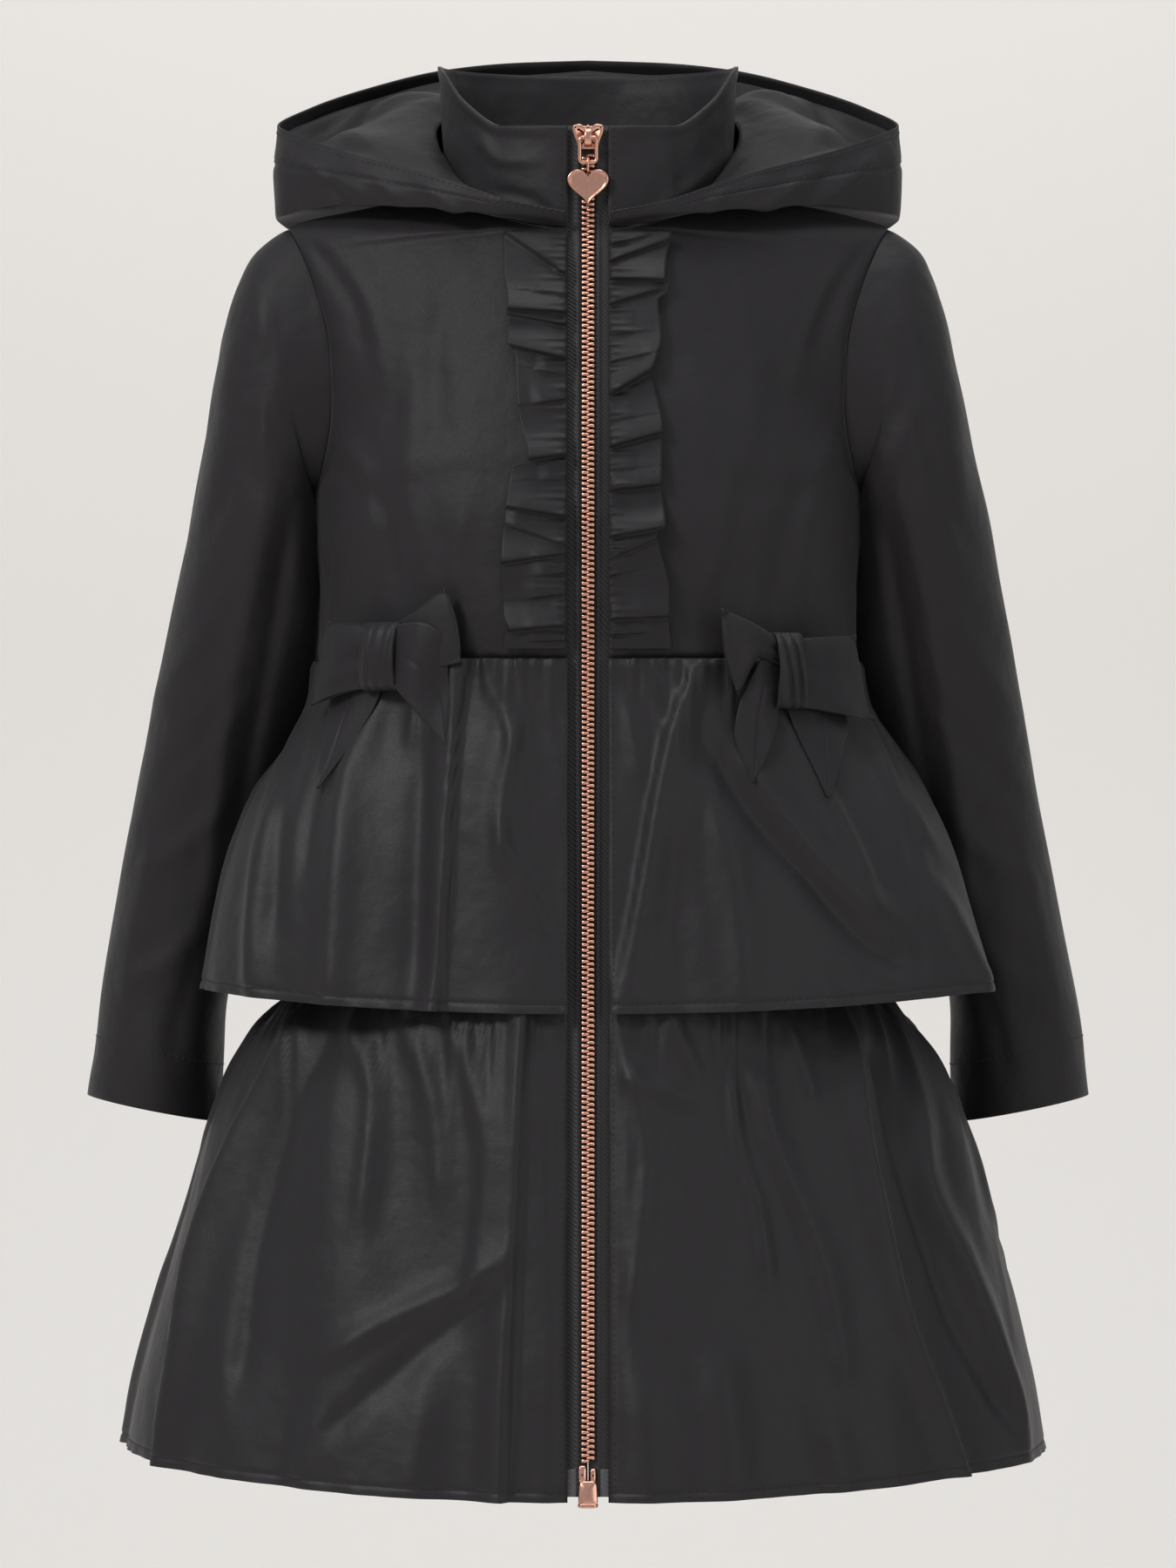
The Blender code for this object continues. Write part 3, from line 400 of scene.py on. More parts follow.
def add_mesh(name, points, faces, material, node=None, body=BODY):
    """Makes a smooth piece from points in millimetres, turned outward, on its body."""
    points = np.asarray(points, dtype=float).reshape(-1, 3)
    faces = np.asarray(faces)
    corners = points[faces]
    volume = 0.0
    for k in range(1, faces.shape[1] - 1):
        cross = np.cross(corners[:, k], corners[:, k + 1])
        volume += np.einsum("ij,ij->i", corners[:, 0], cross).sum()
    if volume < 0:
        faces = faces[:, ::-1]
    name = "fine_" + name
    mesh = bpy.data.meshes.new(name)
    mesh.from_pydata((points * MM).tolist(), [], faces.tolist())
    mesh.polygons.foreach_set("use_smooth", [True] * len(mesh.polygons))
    mesh.materials.append(material)
    made = bpy.data.objects.new(name, mesh)
    bpy.context.scene.collection.objects.link(made)
    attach(made, body)
    if node:
        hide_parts(node)
    return made


def shell_faces(rows, cols, closed=False):
    """Gives the quads of a shell between an outer and an inner grid, rim included."""
    layer = rows * cols
    index = np.arange(layer).reshape(rows, cols)
    if closed:
        index = np.concatenate([index, index[:, :1]], axis=1)
    a, b = index[:-1, :-1], index[:-1, 1:]
    d, e = index[1:, :-1], index[1:, 1:]
    faces = [np.stack([a, b, e, d], axis=-1), np.stack([a, d, e, b], axis=-1) + layer]
    lines = [index[0], index[-1, ::-1]]
    if not closed:
        lines += [index[::-1, 0], index[:, -1]]
    for line in lines:
        near, far = line[1:], line[:-1]
        faces.append(np.stack([near, far, far + layer, near + layer], axis=-1))
    return np.concatenate([part.reshape(-1, 4) for part in faces])


# The outer side of each shell, which the sewing is laid on.
SURFACES = {}


def add_shell(name, node, outer, out, material=CLOTH, closed=False, thick=SHELL, edges=()):
    """Makes a thin cloth shell; out is the direction its outer side faces."""
    inner = pull_back(outer - out * thick, edges)
    outer = pull_back(outer, edges)
    SURFACES[name] = (outer, np.broadcast_to(out, outer.shape))
    rows, cols = outer.shape[:2]
    points = np.concatenate([outer.reshape(-1, 3), inner.reshape(-1, 3)])
    return add_mesh(name, points, shell_faces(rows, cols, closed), material, node)


# Creases, gathers and crumples.


Crease = namedtuple("Crease", "path left right height fade")


def crease_height(creases, across, up):
    """Gives how far a list of creases lifts the cloth at points of a flat view.

    left and right are how far a crease takes to fall off to either side of its path, as
    the view shows it; fade is how long its ends take to run out.
    """
    total = np.zeros(np.shape(across))
    for crease in creases:
        path = np.array(crease.path, dtype=float)
        lengths = np.concatenate([[0], np.cumsum(np.linalg.norm(np.diff(path, axis=0), axis=1))])
        steps = np.linspace(0, lengths[-1], 14)
        path = curve(lengths, path, steps)
        best = np.full(total.shape, np.inf)
        offset = np.zeros(total.shape)
        along = np.zeros(total.shape)
        for (x0, z0), (x1, z1), start in zip(path[:-1], path[1:], steps):
            dx, dz = x1 - x0, z1 - z0
            length = math.hypot(dx, dz)
            share = ((across - x0) * dx + (up - z0) * dz) / length**2
            near = np.clip(share, 0, 1)
            away_x = across - x0 - near * dx
            away_z = up - z0 - near * dz
            away = np.hypot(away_x, away_z)
            closer = away < best
            best = np.where(closer, away, best)
            turn = np.sign(away_x * -dz + away_z * dx) * np.sign(-dz)
            offset = np.where(closer, away * turn, offset)
            along = np.where(closer, start + near * length, along)
        width = np.where(offset < 0, crease.left, crease.right)
        ends = ease(along, -0.5 * crease.fade, crease.fade)
        ends *= ease(lengths[-1] - along, -0.5 * crease.fade, crease.fade)
        total += crease.height * np.exp(-((offset / width) ** 2)) * ends
    return total


def gather_lines(along, down, spacing, height, reach, beat):
    """Gives small gathers that hang from a seam, uneven in width, height and reach."""
    phase = along / spacing + 0.42 * np.sin(along / 17.0 + beat) + 0.3 * np.sin(along / 7.3 + 2 * beat)
    number = np.floor(phase)
    size = 0.55 + 0.45 * np.sin(number * 2.4 + beat)
    far = reach * (0.65 + 0.55 * np.sin(number * 1.7 + 2.1 * beat))
    wave = (0.5 - 0.5 * np.cos(2 * math.pi * phase)) ** 1.3
    return height * size * wave * np.exp(-((down / np.maximum(far, 4.0)) ** 1.6))


def ripple(along, up, size, seed):
    """Gives a soft uneven crumple about one millimetre high, from a few crossed waves."""
    total = np.zeros(np.broadcast(along, up).shape)
    for k in range(5):
        turn = seed * 1.7 + k * 1.26
        slant = along * math.cos(turn) + up * math.sin(turn) * 0.6
        bend = 5.0 * np.sin(along / (31 + 7 * k) + seed + k) + 4.0 * np.sin(up / (23 + 5 * k) - seed)
        total += np.sin((slant + bend) / size * (1 + 0.31 * k) + seed * k)
    return total / 3.2


def seam_dip(away, depth=0.6, width=2.2):
    """Gives how far the cloth dips beside a seam."""
    return -depth * np.exp(-((away / width) ** 2))


# Tiers: yoke, short tier and long tier.


def ring(form, side, angle, z):
    """Gives points of a tier's plain form, and the level directions out of it."""
    half = np.where(side < 0, form.at("half_left", z), form.at("half_right", z))
    middle = form.at("middle", z)
    front = FRONT_LINE.at("y", z) - form.at("proud", z)
    ahead = angle < 90
    edge = np.where(ahead, ZIP_EDGE, 0.0)
    reach = half - edge
    depth = np.where(ahead, middle - front, form.at("back", z) - middle)
    sine = np.sin(np.radians(angle))
    cosine = np.cos(np.radians(angle))
    points = np.stack([side * (edge + reach * sine), middle - depth * cosine, z], axis=-1)
    out = np.stack([side * depth * sine, -reach * cosine, np.zeros_like(z)], axis=-1)
    return points, unit(out)


def arc_lengths(form, side, angle, z):
    """Gives how far round from the zip a point lies, as a length along the cloth."""
    fine = np.linspace(0, 180, 181)
    heights = np.linspace(form.columns[0][0], form.columns[0][-1], 30)
    grid_z, grid_angle = np.meshgrid(heights, fine, indexing="ij")
    points, _ = ring(form, np.full(grid_z.shape, side), grid_angle, grid_z)
    steps = np.linalg.norm(np.diff(points, axis=1), axis=-1)
    arcs = np.concatenate([np.zeros((len(heights), 1)), np.cumsum(steps, axis=1)], axis=1)
    row = np.clip(np.interp(z, heights, np.arange(len(heights))), 0, len(heights) - 1.001)
    col = np.clip(angle, 0, 179.999)
    r, c = np.floor(row).astype(int), np.floor(col).astype(int)
    fr, fc = row - r, col - c
    near = arcs[r, c] * (1 - fc) + arcs[r, c + 1] * fc
    far = arcs[r + 1, c] * (1 - fc) + arcs[r + 1, c + 1] * fc
    return near * (1 - fr) + far * fr


def laid_out(form, creases):
    """Turns creases given in the front view, as (x, z), to lengths along the cloth."""
    done = []
    for crease in creases:
        path = []
        for x, z in crease.path:
            side = LEFT if x < 0 else RIGHT
            half = float(form.at("half_left" if x < 0 else "half_right", z))
            sine = np.clip((abs(x) - ZIP_EDGE) / (half - ZIP_EDGE), 0, 0.995)
            angle = np.array(math.degrees(math.asin(sine)))
            path.append((side * float(arc_lengths(form, side, angle, np.array(float(z)))), z))
        done.append(crease._replace(path=tuple(path)))
    return done


def laid_round(form, creases):
    """Turns creases given by (angle, z), with the side as its sign, to lengths."""
    done = []
    for crease in creases:
        path = []
        for angle, z in crease.path:
            side = LEFT if angle < 0 else RIGHT
            arc = arc_lengths(form, side, np.array(abs(float(angle))), np.array(float(z)))
            path.append((side * float(arc), z))
        done.append(crease._replace(path=tuple(path)))
    return done


# Creases of the front of the short tier, in the front view.
PEPLUM_CREASES = (
    Crease(((-50, -186), (-53, -200), (-57, -241), (-60, -290), (-64, -342)), 9, 1.6, 4.2, 4),
    Crease(((-66, -215), (-70, -250), (-74, -342)), 6, 9, -1.6, 30),
    Crease(((-84, -192), (-102, -241), (-107, -308), (-109, -340)), 7, 8, 2.8, 18),
    Crease(((-92, -196), (-112, -236), (-122, -290)), 5, 7, -1.5, 22),
    Crease(((-28, -210), (-37, -256), (-26, -285), (-13, -309)), 5, 3.0, 1.9, 16),
    Crease(((-43, -193), (-31, -227), (-39, -278)), 3, 5, 1.4, 14),
    Crease(((-13, -201), (-8.5, -240), (-10, -278)), 3, 3, -1.0, 16),
    Crease(((-72, -190), (-76, -227)), 2.5, 3.5, 1.2, 12),
    Crease(((-129, -238), (-140, -279), (-143, -338)), 7, 9, 3.2, 18),
    Crease(((-118, -210), (-131, -262), (-134, -310)), 5, 6, -1.6, 20),
    Crease(((46, -186), (43, -196), (34, -219), (21, -290), (9, -342)), 2.0, 10, 3.6, 4),
    Crease(((15, -204), (23, -241)), 3, 3, 1.2, 12),
    Crease(((23, -192), (35, -224)), 3, 3.5, 1.3, 12),
    Crease(((50, -222), (68, -252), (96, -284), (118, -309), (140, -322)), 6, 6, -3.0, 16),
    Crease(((62, -226), (84, -256), (112, -285), (134, -300)), 6, 5, 2.2, 18),
    Crease(((76, -200), (105, -252), (122, -288)), 5, 3.0, 2.0, 16),
    Crease(((83, -263), (120, -302)), 3, 4, 1.0, 14),
    Crease(((52, -245), (62, -290), (66, -342)), 7, 9, 2.6, 26),
    Crease(((36, -262), (40, -342)), 6, 7, -1.2, 26),
    Crease(((146, -280), (158, -305), (172, -336)), 7, 8, 3.6, 16),
    Crease(((120, -216), (136, -250), (150, -270)), 5, 6, 2.0, 16),
    Crease(((96, -322), (104, -345)), 6, 6, 1.6, 12),
)

# Creases of its back, by the angle from the zip; angles on the left are negative.
PEPLUM_BACK_CREASES = (
    Crease(((-102, -192), (-108, -240), (-112, -346)), 8, 5, 3.0, 12),
    Crease(((-121, -192), (-118, -250), (-116, -346)), 5, 9, 3.4, 14),
    Crease(((-134, -196), (-131, -236), (-136, -310)), 6, 6, -2.0, 18),
    Crease(((-149, -190), (-152, -260), (-155, -350)), 2.2, 9, 3.8, 6),
    Crease(((-166, -196), (-170, -246), (-165, -300)), 5, 5, 1.8, 16),
    Crease(((176, -192), (171, -240), (174, -300)), 4, 6, 1.6, 18),
    Crease(((163, -190), (160, -262), (162, -350)), 9, 2.2, 3.6, 6),
    Crease(((148, -205), (143, -262), (150, -330)), 6, 6, -2.2, 18),
    Crease(((132, -192), (128, -250), (130, -350)), 7, 6, 3.4, 12),
    Crease(((112, -196), (108, -246), (112, -310)), 5, 7, 2.2, 16),
    Crease(((99, -192), (100, -270), (103, -346)), 6, 6, 2.6, 16),
    Crease(((-94, -230), (-97, -300), (-96, -346)), 6, 6, 2.4, 16),
)

SKIRT_CREASES = (
    Crease(((-26, -332), (-27, -350), (-30, -424), (-34, -505), (-36, -548)), 10, 1.6, 4.6, 4),
    Crease(((-12, -344), (-7, -388), (-11, -442), (-13, -500)), 3.5, 3, 1.3, 18),
    Crease(((-32, -437), (-54, -453), (-80, -465), (-110, -484)), 6, 3.5, 2.3, 14),
    Crease(((-34, -450), (-73, -480), (-112, -515)), 4, 7, -2.0, 16),
    Crease(((-57, -338), (-42, -399), (-49, -460)), 4, 7, 2.0, 16),
    Crease(((-79, -338), (-64, -381), (-62, -420)), 4, 5, 1.6, 16),
    Crease(((-102, -338), (-90, -374), (-95, -428)), 4, 6, 2.0, 16),
    Crease(((-66, -490), (-72, -520), (-74, -548)), 9, 9, 2.6, 22),
    Crease(((-118, -336), (-146, -389), (-163, -436), (-176, -500), (-183, -545)), 5, 11, 5.4, 6),
    Crease(((-108, -345), (-128, -390), (-140, -436), (-148, -500)), 5, 8, -2.0, 18),
    Crease(((-112, -500), (-118, -525), (-120, -548)), 8, 8, 2.4, 18),
    Crease(((9, -340), (24, -398), (17, -462)), 3, 6, 1.9, 14),
    Crease(((34, -338), (47, -368)), 3, 4, 1.5, 10),
    Crease(((12, -362), (30, -369), (49, -374)), 4, 3, 1.8, 8),
    Crease(((59, -360), (64, -393), (71, -418), (77, -452)), 3.5, 3, 1.7, 14),
    Crease(((67, -358), (81, -400), (94, -433), (103, -466), (107, -495)), 3.5, 7, 2.2, 14),
    Crease(((83, -338), (95, -376)), 3, 4, 1.6, 10),
    Crease(((108, -336), (113, -376), (123, -426), (132, -464), (147, -501), (162, -545)), 8, 3.0, 4.6, 16),
    Crease(((121, -352), (129, -392), (143, -436), (158, -476), (176, -512)), 5, 5, -2.8, 12),
    Crease(((132, -346), (142, -402), (157, -444), (172, -485), (186, -530)), 4.5, 9, 4.4, 34),
    Crease(((52, -470), (58, -510), (60, -548)), 10, 10, 3.0, 24),
    Crease(((22, -478), (26, -548)), 8, 8, 2.0, 26),
    Crease(((96, -500), (104, -528), (110, -548)), 7, 9, 2.8, 18),
    Crease(((152, -345), (168, -390), (181, -440)), 6, 7, 2.2, 16),
)
SKIRT_BACK_CREASES = (
    Crease(((-96, -336), (-98, -400), (-101, -548)), 9, 6, 4.0, 12),
    Crease(((-112, -336), (-110, -420), (-108, -548)), 6, 10, 5.0, 12),
    Crease(((-124, -345), (-127, -400), (-124, -470)), 8, 6, -3.0, 20),
    Crease(((-136, -336), (-141, -400), (-147, -548)), 3, 11, 5.6, 8),
    Crease(((-150, -345), (-157, -400), (-160, -480)), 6, 6, 2.4, 18),
    Crease(((-164, -336), (-166, -420), (-171, -548)), 7, 9, 3.4, 16),
    Crease(((-176, -350), (-173, -390), (-178, -440)), 4, 6, 2.0, 16),
    Crease(((171, -338), (168, -420), (166, -548)), 10, 3, 5.0, 8),
    Crease(((154, -345), (157, -420), (152, -500)), 8, 7, -3.0, 22),
    Crease(((144, -338), (138, -392), (141, -450)), 6, 5, 2.6, 16),
    Crease(((133, -336), (131, -410), (128, -548)), 9, 7, 5.6, 10),
    Crease(((119, -345), (122, -410), (117, -490)), 7, 7, -2.6, 22),
    Crease(((105, -336), (106, -420), (110, -548)), 7, 9, 4.6, 12),
    Crease(((97, -352), (99, -400), (97, -460)), 5, 5, 2.0, 18),
)

# The fine gathers under a tier's seam and the soft waves lower down.
Flow = namedtuple("Flow", "spacing height reach wide beat")
PEPLUM_FLOW = Flow(8.5, 1.9, 26, 1.5, 1.1)
SKIRT_FLOW = Flow(9.5, 2.3, 40, 1.9, 2.7)


def tier_rows(tier, count):
    """Gives shares of the way down, close together at the seam and the hem."""
    tall = tier.top - tier.hem_side
    close = np.array([0, 0.5, 1.2, 2.2, 3.0, 3.5, 4.0, 4.5, 5.2, 6.5]) / tall
    above = np.array([0, 0.8, 1.8, 3.0]) / tall
    return np.concatenate([above, np.linspace(4.5 / tall, 1 - 8.5 / tall, count), 1 - close[::-1]])


def add_tier(name, tier, flow, creases, columns, edges, rows=64):
    """Makes one panel of a tier; columns are (side, angle) pairs and rows go down."""
    side, angle = np.array(columns, dtype=float).T
    down = tier_rows(tier, rows)[:, None]
    hem_end = np.where(angle < 90, tier.hem_front, tier.hem_back)
    hem = tier.hem_side + (hem_end - tier.hem_side) * np.cos(np.radians(angle)) ** 2
    z = tier.top + (hem - tier.top) * down
    angle = np.broadcast_to(angle, z.shape)
    side = np.broadcast_to(side, z.shape)
    points, out = ring(tier.form, side, angle, z)
    arc = np.where(
        side < 0, arc_lengths(tier.form, LEFT, angle, z), arc_lengths(tier.form, RIGHT, angle, z)
    )
    around = side * arc
    below = tier.top - z
    above = z - hem
    grow = ease(below, 0, 50)
    fade = ease(arc, 0, 9)
    height = gather_lines(around, below, flow.spacing, flow.height, flow.reach, flow.beat) * fade
    near_zip = fade * (1 - ease(arc, 60, 95))
    height += gather_lines(around, below, 5.6, 2.9, 17, flow.beat + 4) * near_zip
    height += gather_lines(around, below, flow.spacing * 3.1, 2.6, 90, flow.beat + 2) * grow * fade
    wide = np.sin(around / 15.5 + 1.3 * np.sin(around / 41 + flow.beat) + z / 90)
    height += flow.wide * (0.6 + wide) * grow * fade
    height += 0.35 * ripple(around, z, 8.5, flow.beat) * ease(below, 0, 14) * ease(above, 3, 20)
    folds = crease_height(creases, around, z)
    height += 1.4 * folds * (0.35 + 0.65 * ease(arc, 0, 14))
    height += 0.35 * np.sin(around / 3.1 + 2 * np.sin(around / 13)) * np.exp(-above / 3.5)
    height -= 0.55 * np.exp(-(((above - 4.0) / 0.7) ** 2))
    height += seam_dip(below, 0.9, 1.8)
    height += seam_dip(np.abs(angle - 90) * 2.4, 0.8, 2.4)
    outer = points + out * height[..., None]
    return add_shell(name, name, outer, out, TIERED, edges=edges)


def quarter(side, step, first=0.0, last=90.0):
    count = int(round(abs(last - first) / step))
    return [(side, a) for a in np.linspace(first, last, count + 1)]


def back_columns(step):
    """Columns from the left side seam round the back to the right one."""
    return quarter(LEFT, step, 90, 180) + quarter(RIGHT, step, 180, 90)[1:]


def add_tiers():
    made = {}
    for name, tier, flow, front, back, edges in (
        ("peplum", PEPLUM_TIER, PEPLUM_FLOW, PEPLUM_CREASES, PEPLUM_BACK_CREASES, ()),
        ("skirt", SKIRT_TIER, SKIRT_FLOW, SKIRT_CREASES, SKIRT_BACK_CREASES, ("bottom",)),
    ):
        creases = laid_out(tier.form, front) + laid_round(tier.form, back)
        for word, side in (("left", LEFT), ("right", RIGHT)):
            piece = f"{name}_{word}"
            columns = quarter(side, 0.8)
            made[piece] = add_tier(piece, tier, flow, creases, columns, (*edges, "end"))
        both = (*edges, "start", "end")
        piece = f"{name}_back"
        made[piece] = add_tier(piece, tier, flow, creases, back_columns(1.0), both)
    return made


def add_yoke():
    """Makes the plain yoke that hides under the short tier."""
    half = quarter(LEFT, 3.0, 0, 180)
    columns = half + [(RIGHT, angle) for _, angle in half[-2::-1]]
    side, angle = np.array(columns, dtype=float).T
    z = np.linspace(WAIST, HIP, 18)[:, None] * np.ones(len(angle))
    angle = np.broadcast_to(angle, z.shape)
    side = np.broadcast_to(side, z.shape)
    points, out = ring(YOKE, side, angle, z)
    height = 0.4 * ripple(angle * 2.2 * side, z, 11, 3.3) * ease(angle, 3, 12)
    height *= ease(WAIST - z, 0, 12) * ease(z - HIP, 0, 12)
    outer = points + out * (height[..., None] - 0.4)
    return add_shell("hip_yoke", "hip_yoke", outer, out, edges=("bottom", "top"))


# Bodice, neck and armholes.


def neck_point(angle):
    """Gives the neck seam; 0 is at the zip and 180 at the centre back."""
    angle = np.asarray(angle, dtype=float)
    sine = np.sin(np.radians(angle))
    cosine = np.cos(np.radians(angle))
    ahead = angle < 90
    x = np.where(ahead, ZIP_EDGE + (62 - ZIP_EDGE) * sine, 62 * sine)
    y = np.where(ahead, 4 - 58 * cosine, 4 - 46 * cosine)
    z = np.where(ahead, -3 + 19 * sine**2, 8 + 8 * sine**2)
    return np.stack([x, y, z], axis=-1)


def armhole_point(angle):
    """Gives the right armhole; 0 is the shoulder, 180 the underarm and 90 the front."""
    turn = np.radians(angle)
    depth = np.where(np.sin(turn) > 0, 32, 30)
    return np.stack(
        [
            125.5 + 5.5 * np.cos(turn) - 14 * np.sin(turn) ** 2,
            -depth * np.sin(turn),
            -58 + 60 * np.cos(turn),
        ],
        axis=-1,
    )


def bodice_grid(is_back, cols):
    """Gives the right half of the front or back bodice, from the middle to the side."""
    facing = -1 if is_back else 1
    t = np.linspace(0, 1, cols)
    rows = []
    for row in BODICE_ROWS:
        if row.neck is not None:
            start = neck_point(180 - row.neck if is_back else row.neck)
        elif is_back:
            start = np.array([0, row.back_y, row.middle_z])
        else:
            start = np.array([ZIP_EDGE, FRONT_LINE.at("y", row.middle_z), row.middle_z])
        if row.armhole is not None:
            end = armhole_point(row.armhole * facing)
        else:
            end = np.array([SIDE_X.at("x", row.side_z), 0, row.side_z])
        sweep = math.radians(row.sweep)
        shares = np.stack(
            [
                np.sin(t * sweep) / math.sin(sweep),
                (1 - np.cos(t * sweep)) / (1 - math.cos(sweep)),
                t**1.2,
            ],
            axis=-1,
        )
        rows.append(start + (end - start) * shares)
    return np.array(rows)


BODICE_CREASES = (
    Crease(((-128, -2), (-103, -28), (-92, -62)), 5, 4, -1.6, 16),
    Crease(((-112, -10), (-96, -34), (-86, -70)), 4, 4, 1.1, 16),
    Crease(((-110, -88), (-95, -114), (-92, -163)), 4, 5, 1.9, 16),
    Crease(((-104, -108), (-86, -128), (-79, -170)), 4, 5, -1.3, 18),
    Crease(((-73, -63), (-76, -115), (-65, -163)), 5, 5, 1.4, 18),
    Crease(((-52, -120), (-56, -150), (-50, -186)), 4, 4, 1.3, 16),
    Crease(((128, -2), (107, -28), (95, -62)), 4, 5, -1.6, 16),
    Crease(((112, -12), (98, -38), (88, -74)), 4, 4, 1.1, 16),
    Crease(((109, -88), (95, -122), (93, -167)), 5, 4, 1.9, 16),
    Crease(((103, -104), (84, -132), (78, -172)), 5, 4, -1.3, 18),
    Crease(((39, -63), (57, -115), (46, -167)), 4, 6, 1.5, 18),
    Crease(((31, -116), (42, -147)), 3, 3, 1.0, 12),
    Crease(((64, -24), (72, -70), (66, -110)), 6, 6, 1.2, 22),
    Crease(((-60, -22), (-66, -58), (-60, -96)), 6, 6, -1.1, 22),
)
BACK_CREASES = (
    Crease(((-110, -80), (-88, -118), (-84, -170)), 4, 6, 2.0, 16),
    Crease(((-84, -30), (-60, -70), (-56, -120)), 6, 6, 1.6, 22),
    Crease(((-30, -60), (-22, -110), (-28, -170)), 6, 5, 1.5, 22),
    Crease(((16, -90), (24, -130), (14, -178)), 5, 5, -1.4, 20),
    Crease(((88, -26), (64, -64), (60, -118)), 6, 6, 1.6, 22),
    Crease(((110, -80), (90, -116), (82, -168)), 6, 4, 2.0, 16),
    Crease(((44, -96), (52, -140), (44, -182)), 5, 5, 1.4, 18),
    Crease(((-56, -130), (-50, -156), (-54, -184)), 4, 4, 1.2, 14),
)


def bodice_detail(points, is_back, edge_share):
    """Gives how far the bodice's folds and crumples stand out."""
    x, z = points[..., 0], points[..., 2]
    height = crease_height(BACK_CREASES if is_back else BODICE_CREASES, x, z)
    seed = 4.1 if is_back else 1.9
    height += 0.42 * ripple(x, z, 11, seed) + 0.9 * np.sin(x / 19 + z / 33 + seed) - 0.3
    below = z - WAIST
    along = x + 0.4 * points[..., 1]
    height += gather_lines(along, below, 8.0, 1.5, 17, 1.4 + seed)
    return height * edge_share


def add_bodice():
    cols = 64
    keys = np.linspace(0, len(BODICE_ROWS) - 1, 112)
    t = np.linspace(0, 1, cols)
    made = {}
    grids = {}
    for is_back in (False, True):
        coarse = bodice_grid(is_back, cols)
        grid = curve(np.arange(len(BODICE_ROWS)), coarse, keys)
        out = grid_normals(grid)
        if is_back:
            out = -out
            grid[: , 0, 0] = np.where(keys <= NECK_ROW, 0.0, grid[:, 0, 0])
        below_armhole = keys <= 3
        out[below_armhole, -1] = (1, 0, 0)
        out[0, :, 2] = 0
        if is_back:
            out[keys <= NECK_ROW, 0, 0] = 0
        grids[is_back] = (grid, unit(out))
    shared = unit(grids[False][1][-1] + grids[True][1][-1])
    for is_back in (False, True):
        grid, out = grids[is_back]
        out[-1] = shared
        keep = np.ones(grid.shape[:2])
        keep *= ease(keys, 0, 0.35)[:, None] * ease(14 - keys, 0, 1.2)[:, None]
        keep *= ease(1 - t, 0, 0.10)[None, :]
        if not is_back:
            keep *= ease(t, 0, 0.16)[None, :]
        neck_side = np.where(keys > NECK_ROW, 1.0, 0.0)[:, None] * np.ones(cols)
        keep *= 1 - neck_side * (1 - ease(t, 0, 0.2))[None, :]
        rim = np.linalg.norm(grid - grid[:, -1:], axis=-1)
        sunk = seam_dip(rim, 0.7, 2.4)
        halves = {}
        for side in (LEFT, RIGHT):
            seen = grid * (side, 1, 1)
            height = bodice_detail(seen, is_back, keep) + sunk
            halves[side] = seen + out * (side, 1, 1) * height[..., None]
        for side, word in ((RIGHT, "right"), (LEFT, "left")):
            if is_back:
                break
            outer = pull_back(halves[side], ("bottom", "top"))
            outer[below_armhole] = pull_back(outer[below_armhole], ("end",))
            turned = out * (side, 1, 1)
            piece = f"front_{word}"
            made[piece] = add_shell(piece, piece, outer, turned)
        if is_back:
            made["back"] = add_back(halves, out, keys)
    return made


def add_back(halves, out, keys):
    """Joins both halves of the back below the neck, with one column down the middle."""
    layers = []
    for side in (LEFT, RIGHT):
        outer = pull_back(halves[side], ("bottom", "top"))
        low = keys <= 3
        outer[low] = pull_back(outer[low], ("end",))
        layers.append((outer, outer - out * (side, 1, 1) * SHELL))
    rows, cols = layers[0][0].shape[:2]
    joined = keys <= NECK_ROW
    half = rows * cols
    faces = shell_faces(rows, cols)
    points = []
    for outer, inner in layers:
        outer[joined, 0, 0] = 0
        inner[joined, 0, 0] = 0
        points += [outer.reshape(-1, 3), inner.reshape(-1, 3)]
    points = np.concatenate(points)
    on_middle = np.zeros(2 * half, dtype=bool)
    first_column = np.flatnonzero(joined) * cols
    on_middle[first_column] = True
    on_middle[first_column + half] = True
    # Faces of the rim between two points of the middle are left out, and the right
    # half takes the left half's points there.
    rim = on_middle[faces].all(axis=1)
    left = faces[~rim]
    other = np.arange(2 * half) + 2 * half
    other[on_middle] = np.flatnonzero(on_middle)
    both = np.concatenate([left, other[left][:, ::-1]])
    used = np.unique(both)
    renumber = np.zeros(len(points), dtype=int)
    renumber[used] = np.arange(len(used))
    return add_mesh("back", points[used], renumber[both], CLOTH, "back")


CUFF_ROW = 99  # the ring of the fine sleeve that the cuff's stitches lie on


SLEEVE_FRONT_CREASES = (
    Crease(((136, -105), (150, -173), (158, -218), (164, -264), (170, -306)), 5, 6, 2.6, 22),
    Crease(((128, -120), (137, -175), (146, -222), (153, -262)), 4, 4, -1.8, 20),
    Crease(((150, -30), (159, -80), (163, -120)), 7, 6, 1.4, 24),
    Crease(((140, -58), (150, -100), (170, -140)), 4, 5, -1.3, 18),
    Crease(((152, -150), (172, -186), (188, -206)), 4, 5, 1.6, 16),
    Crease(((150, -196), (170, -222), (194, -246)), 4, 4, -1.4, 14),
    Crease(((158, -248), (176, -268), (200, -282)), 4, 5, 1.7, 14),
    Crease(((168, -300), (186, -320), (208, -330)), 4, 4, 1.5, 14),
    Crease(((188, -256), (198, -300), (206, -350)), 6, 5, 1.6, 20),
    Crease(((172, -318), (180, -345), (184, -366)), 5, 5, -1.3, 14),
    Crease(((126, -30), (138, -62), (136, -96)), 4, 6, -1.2, 18),
)


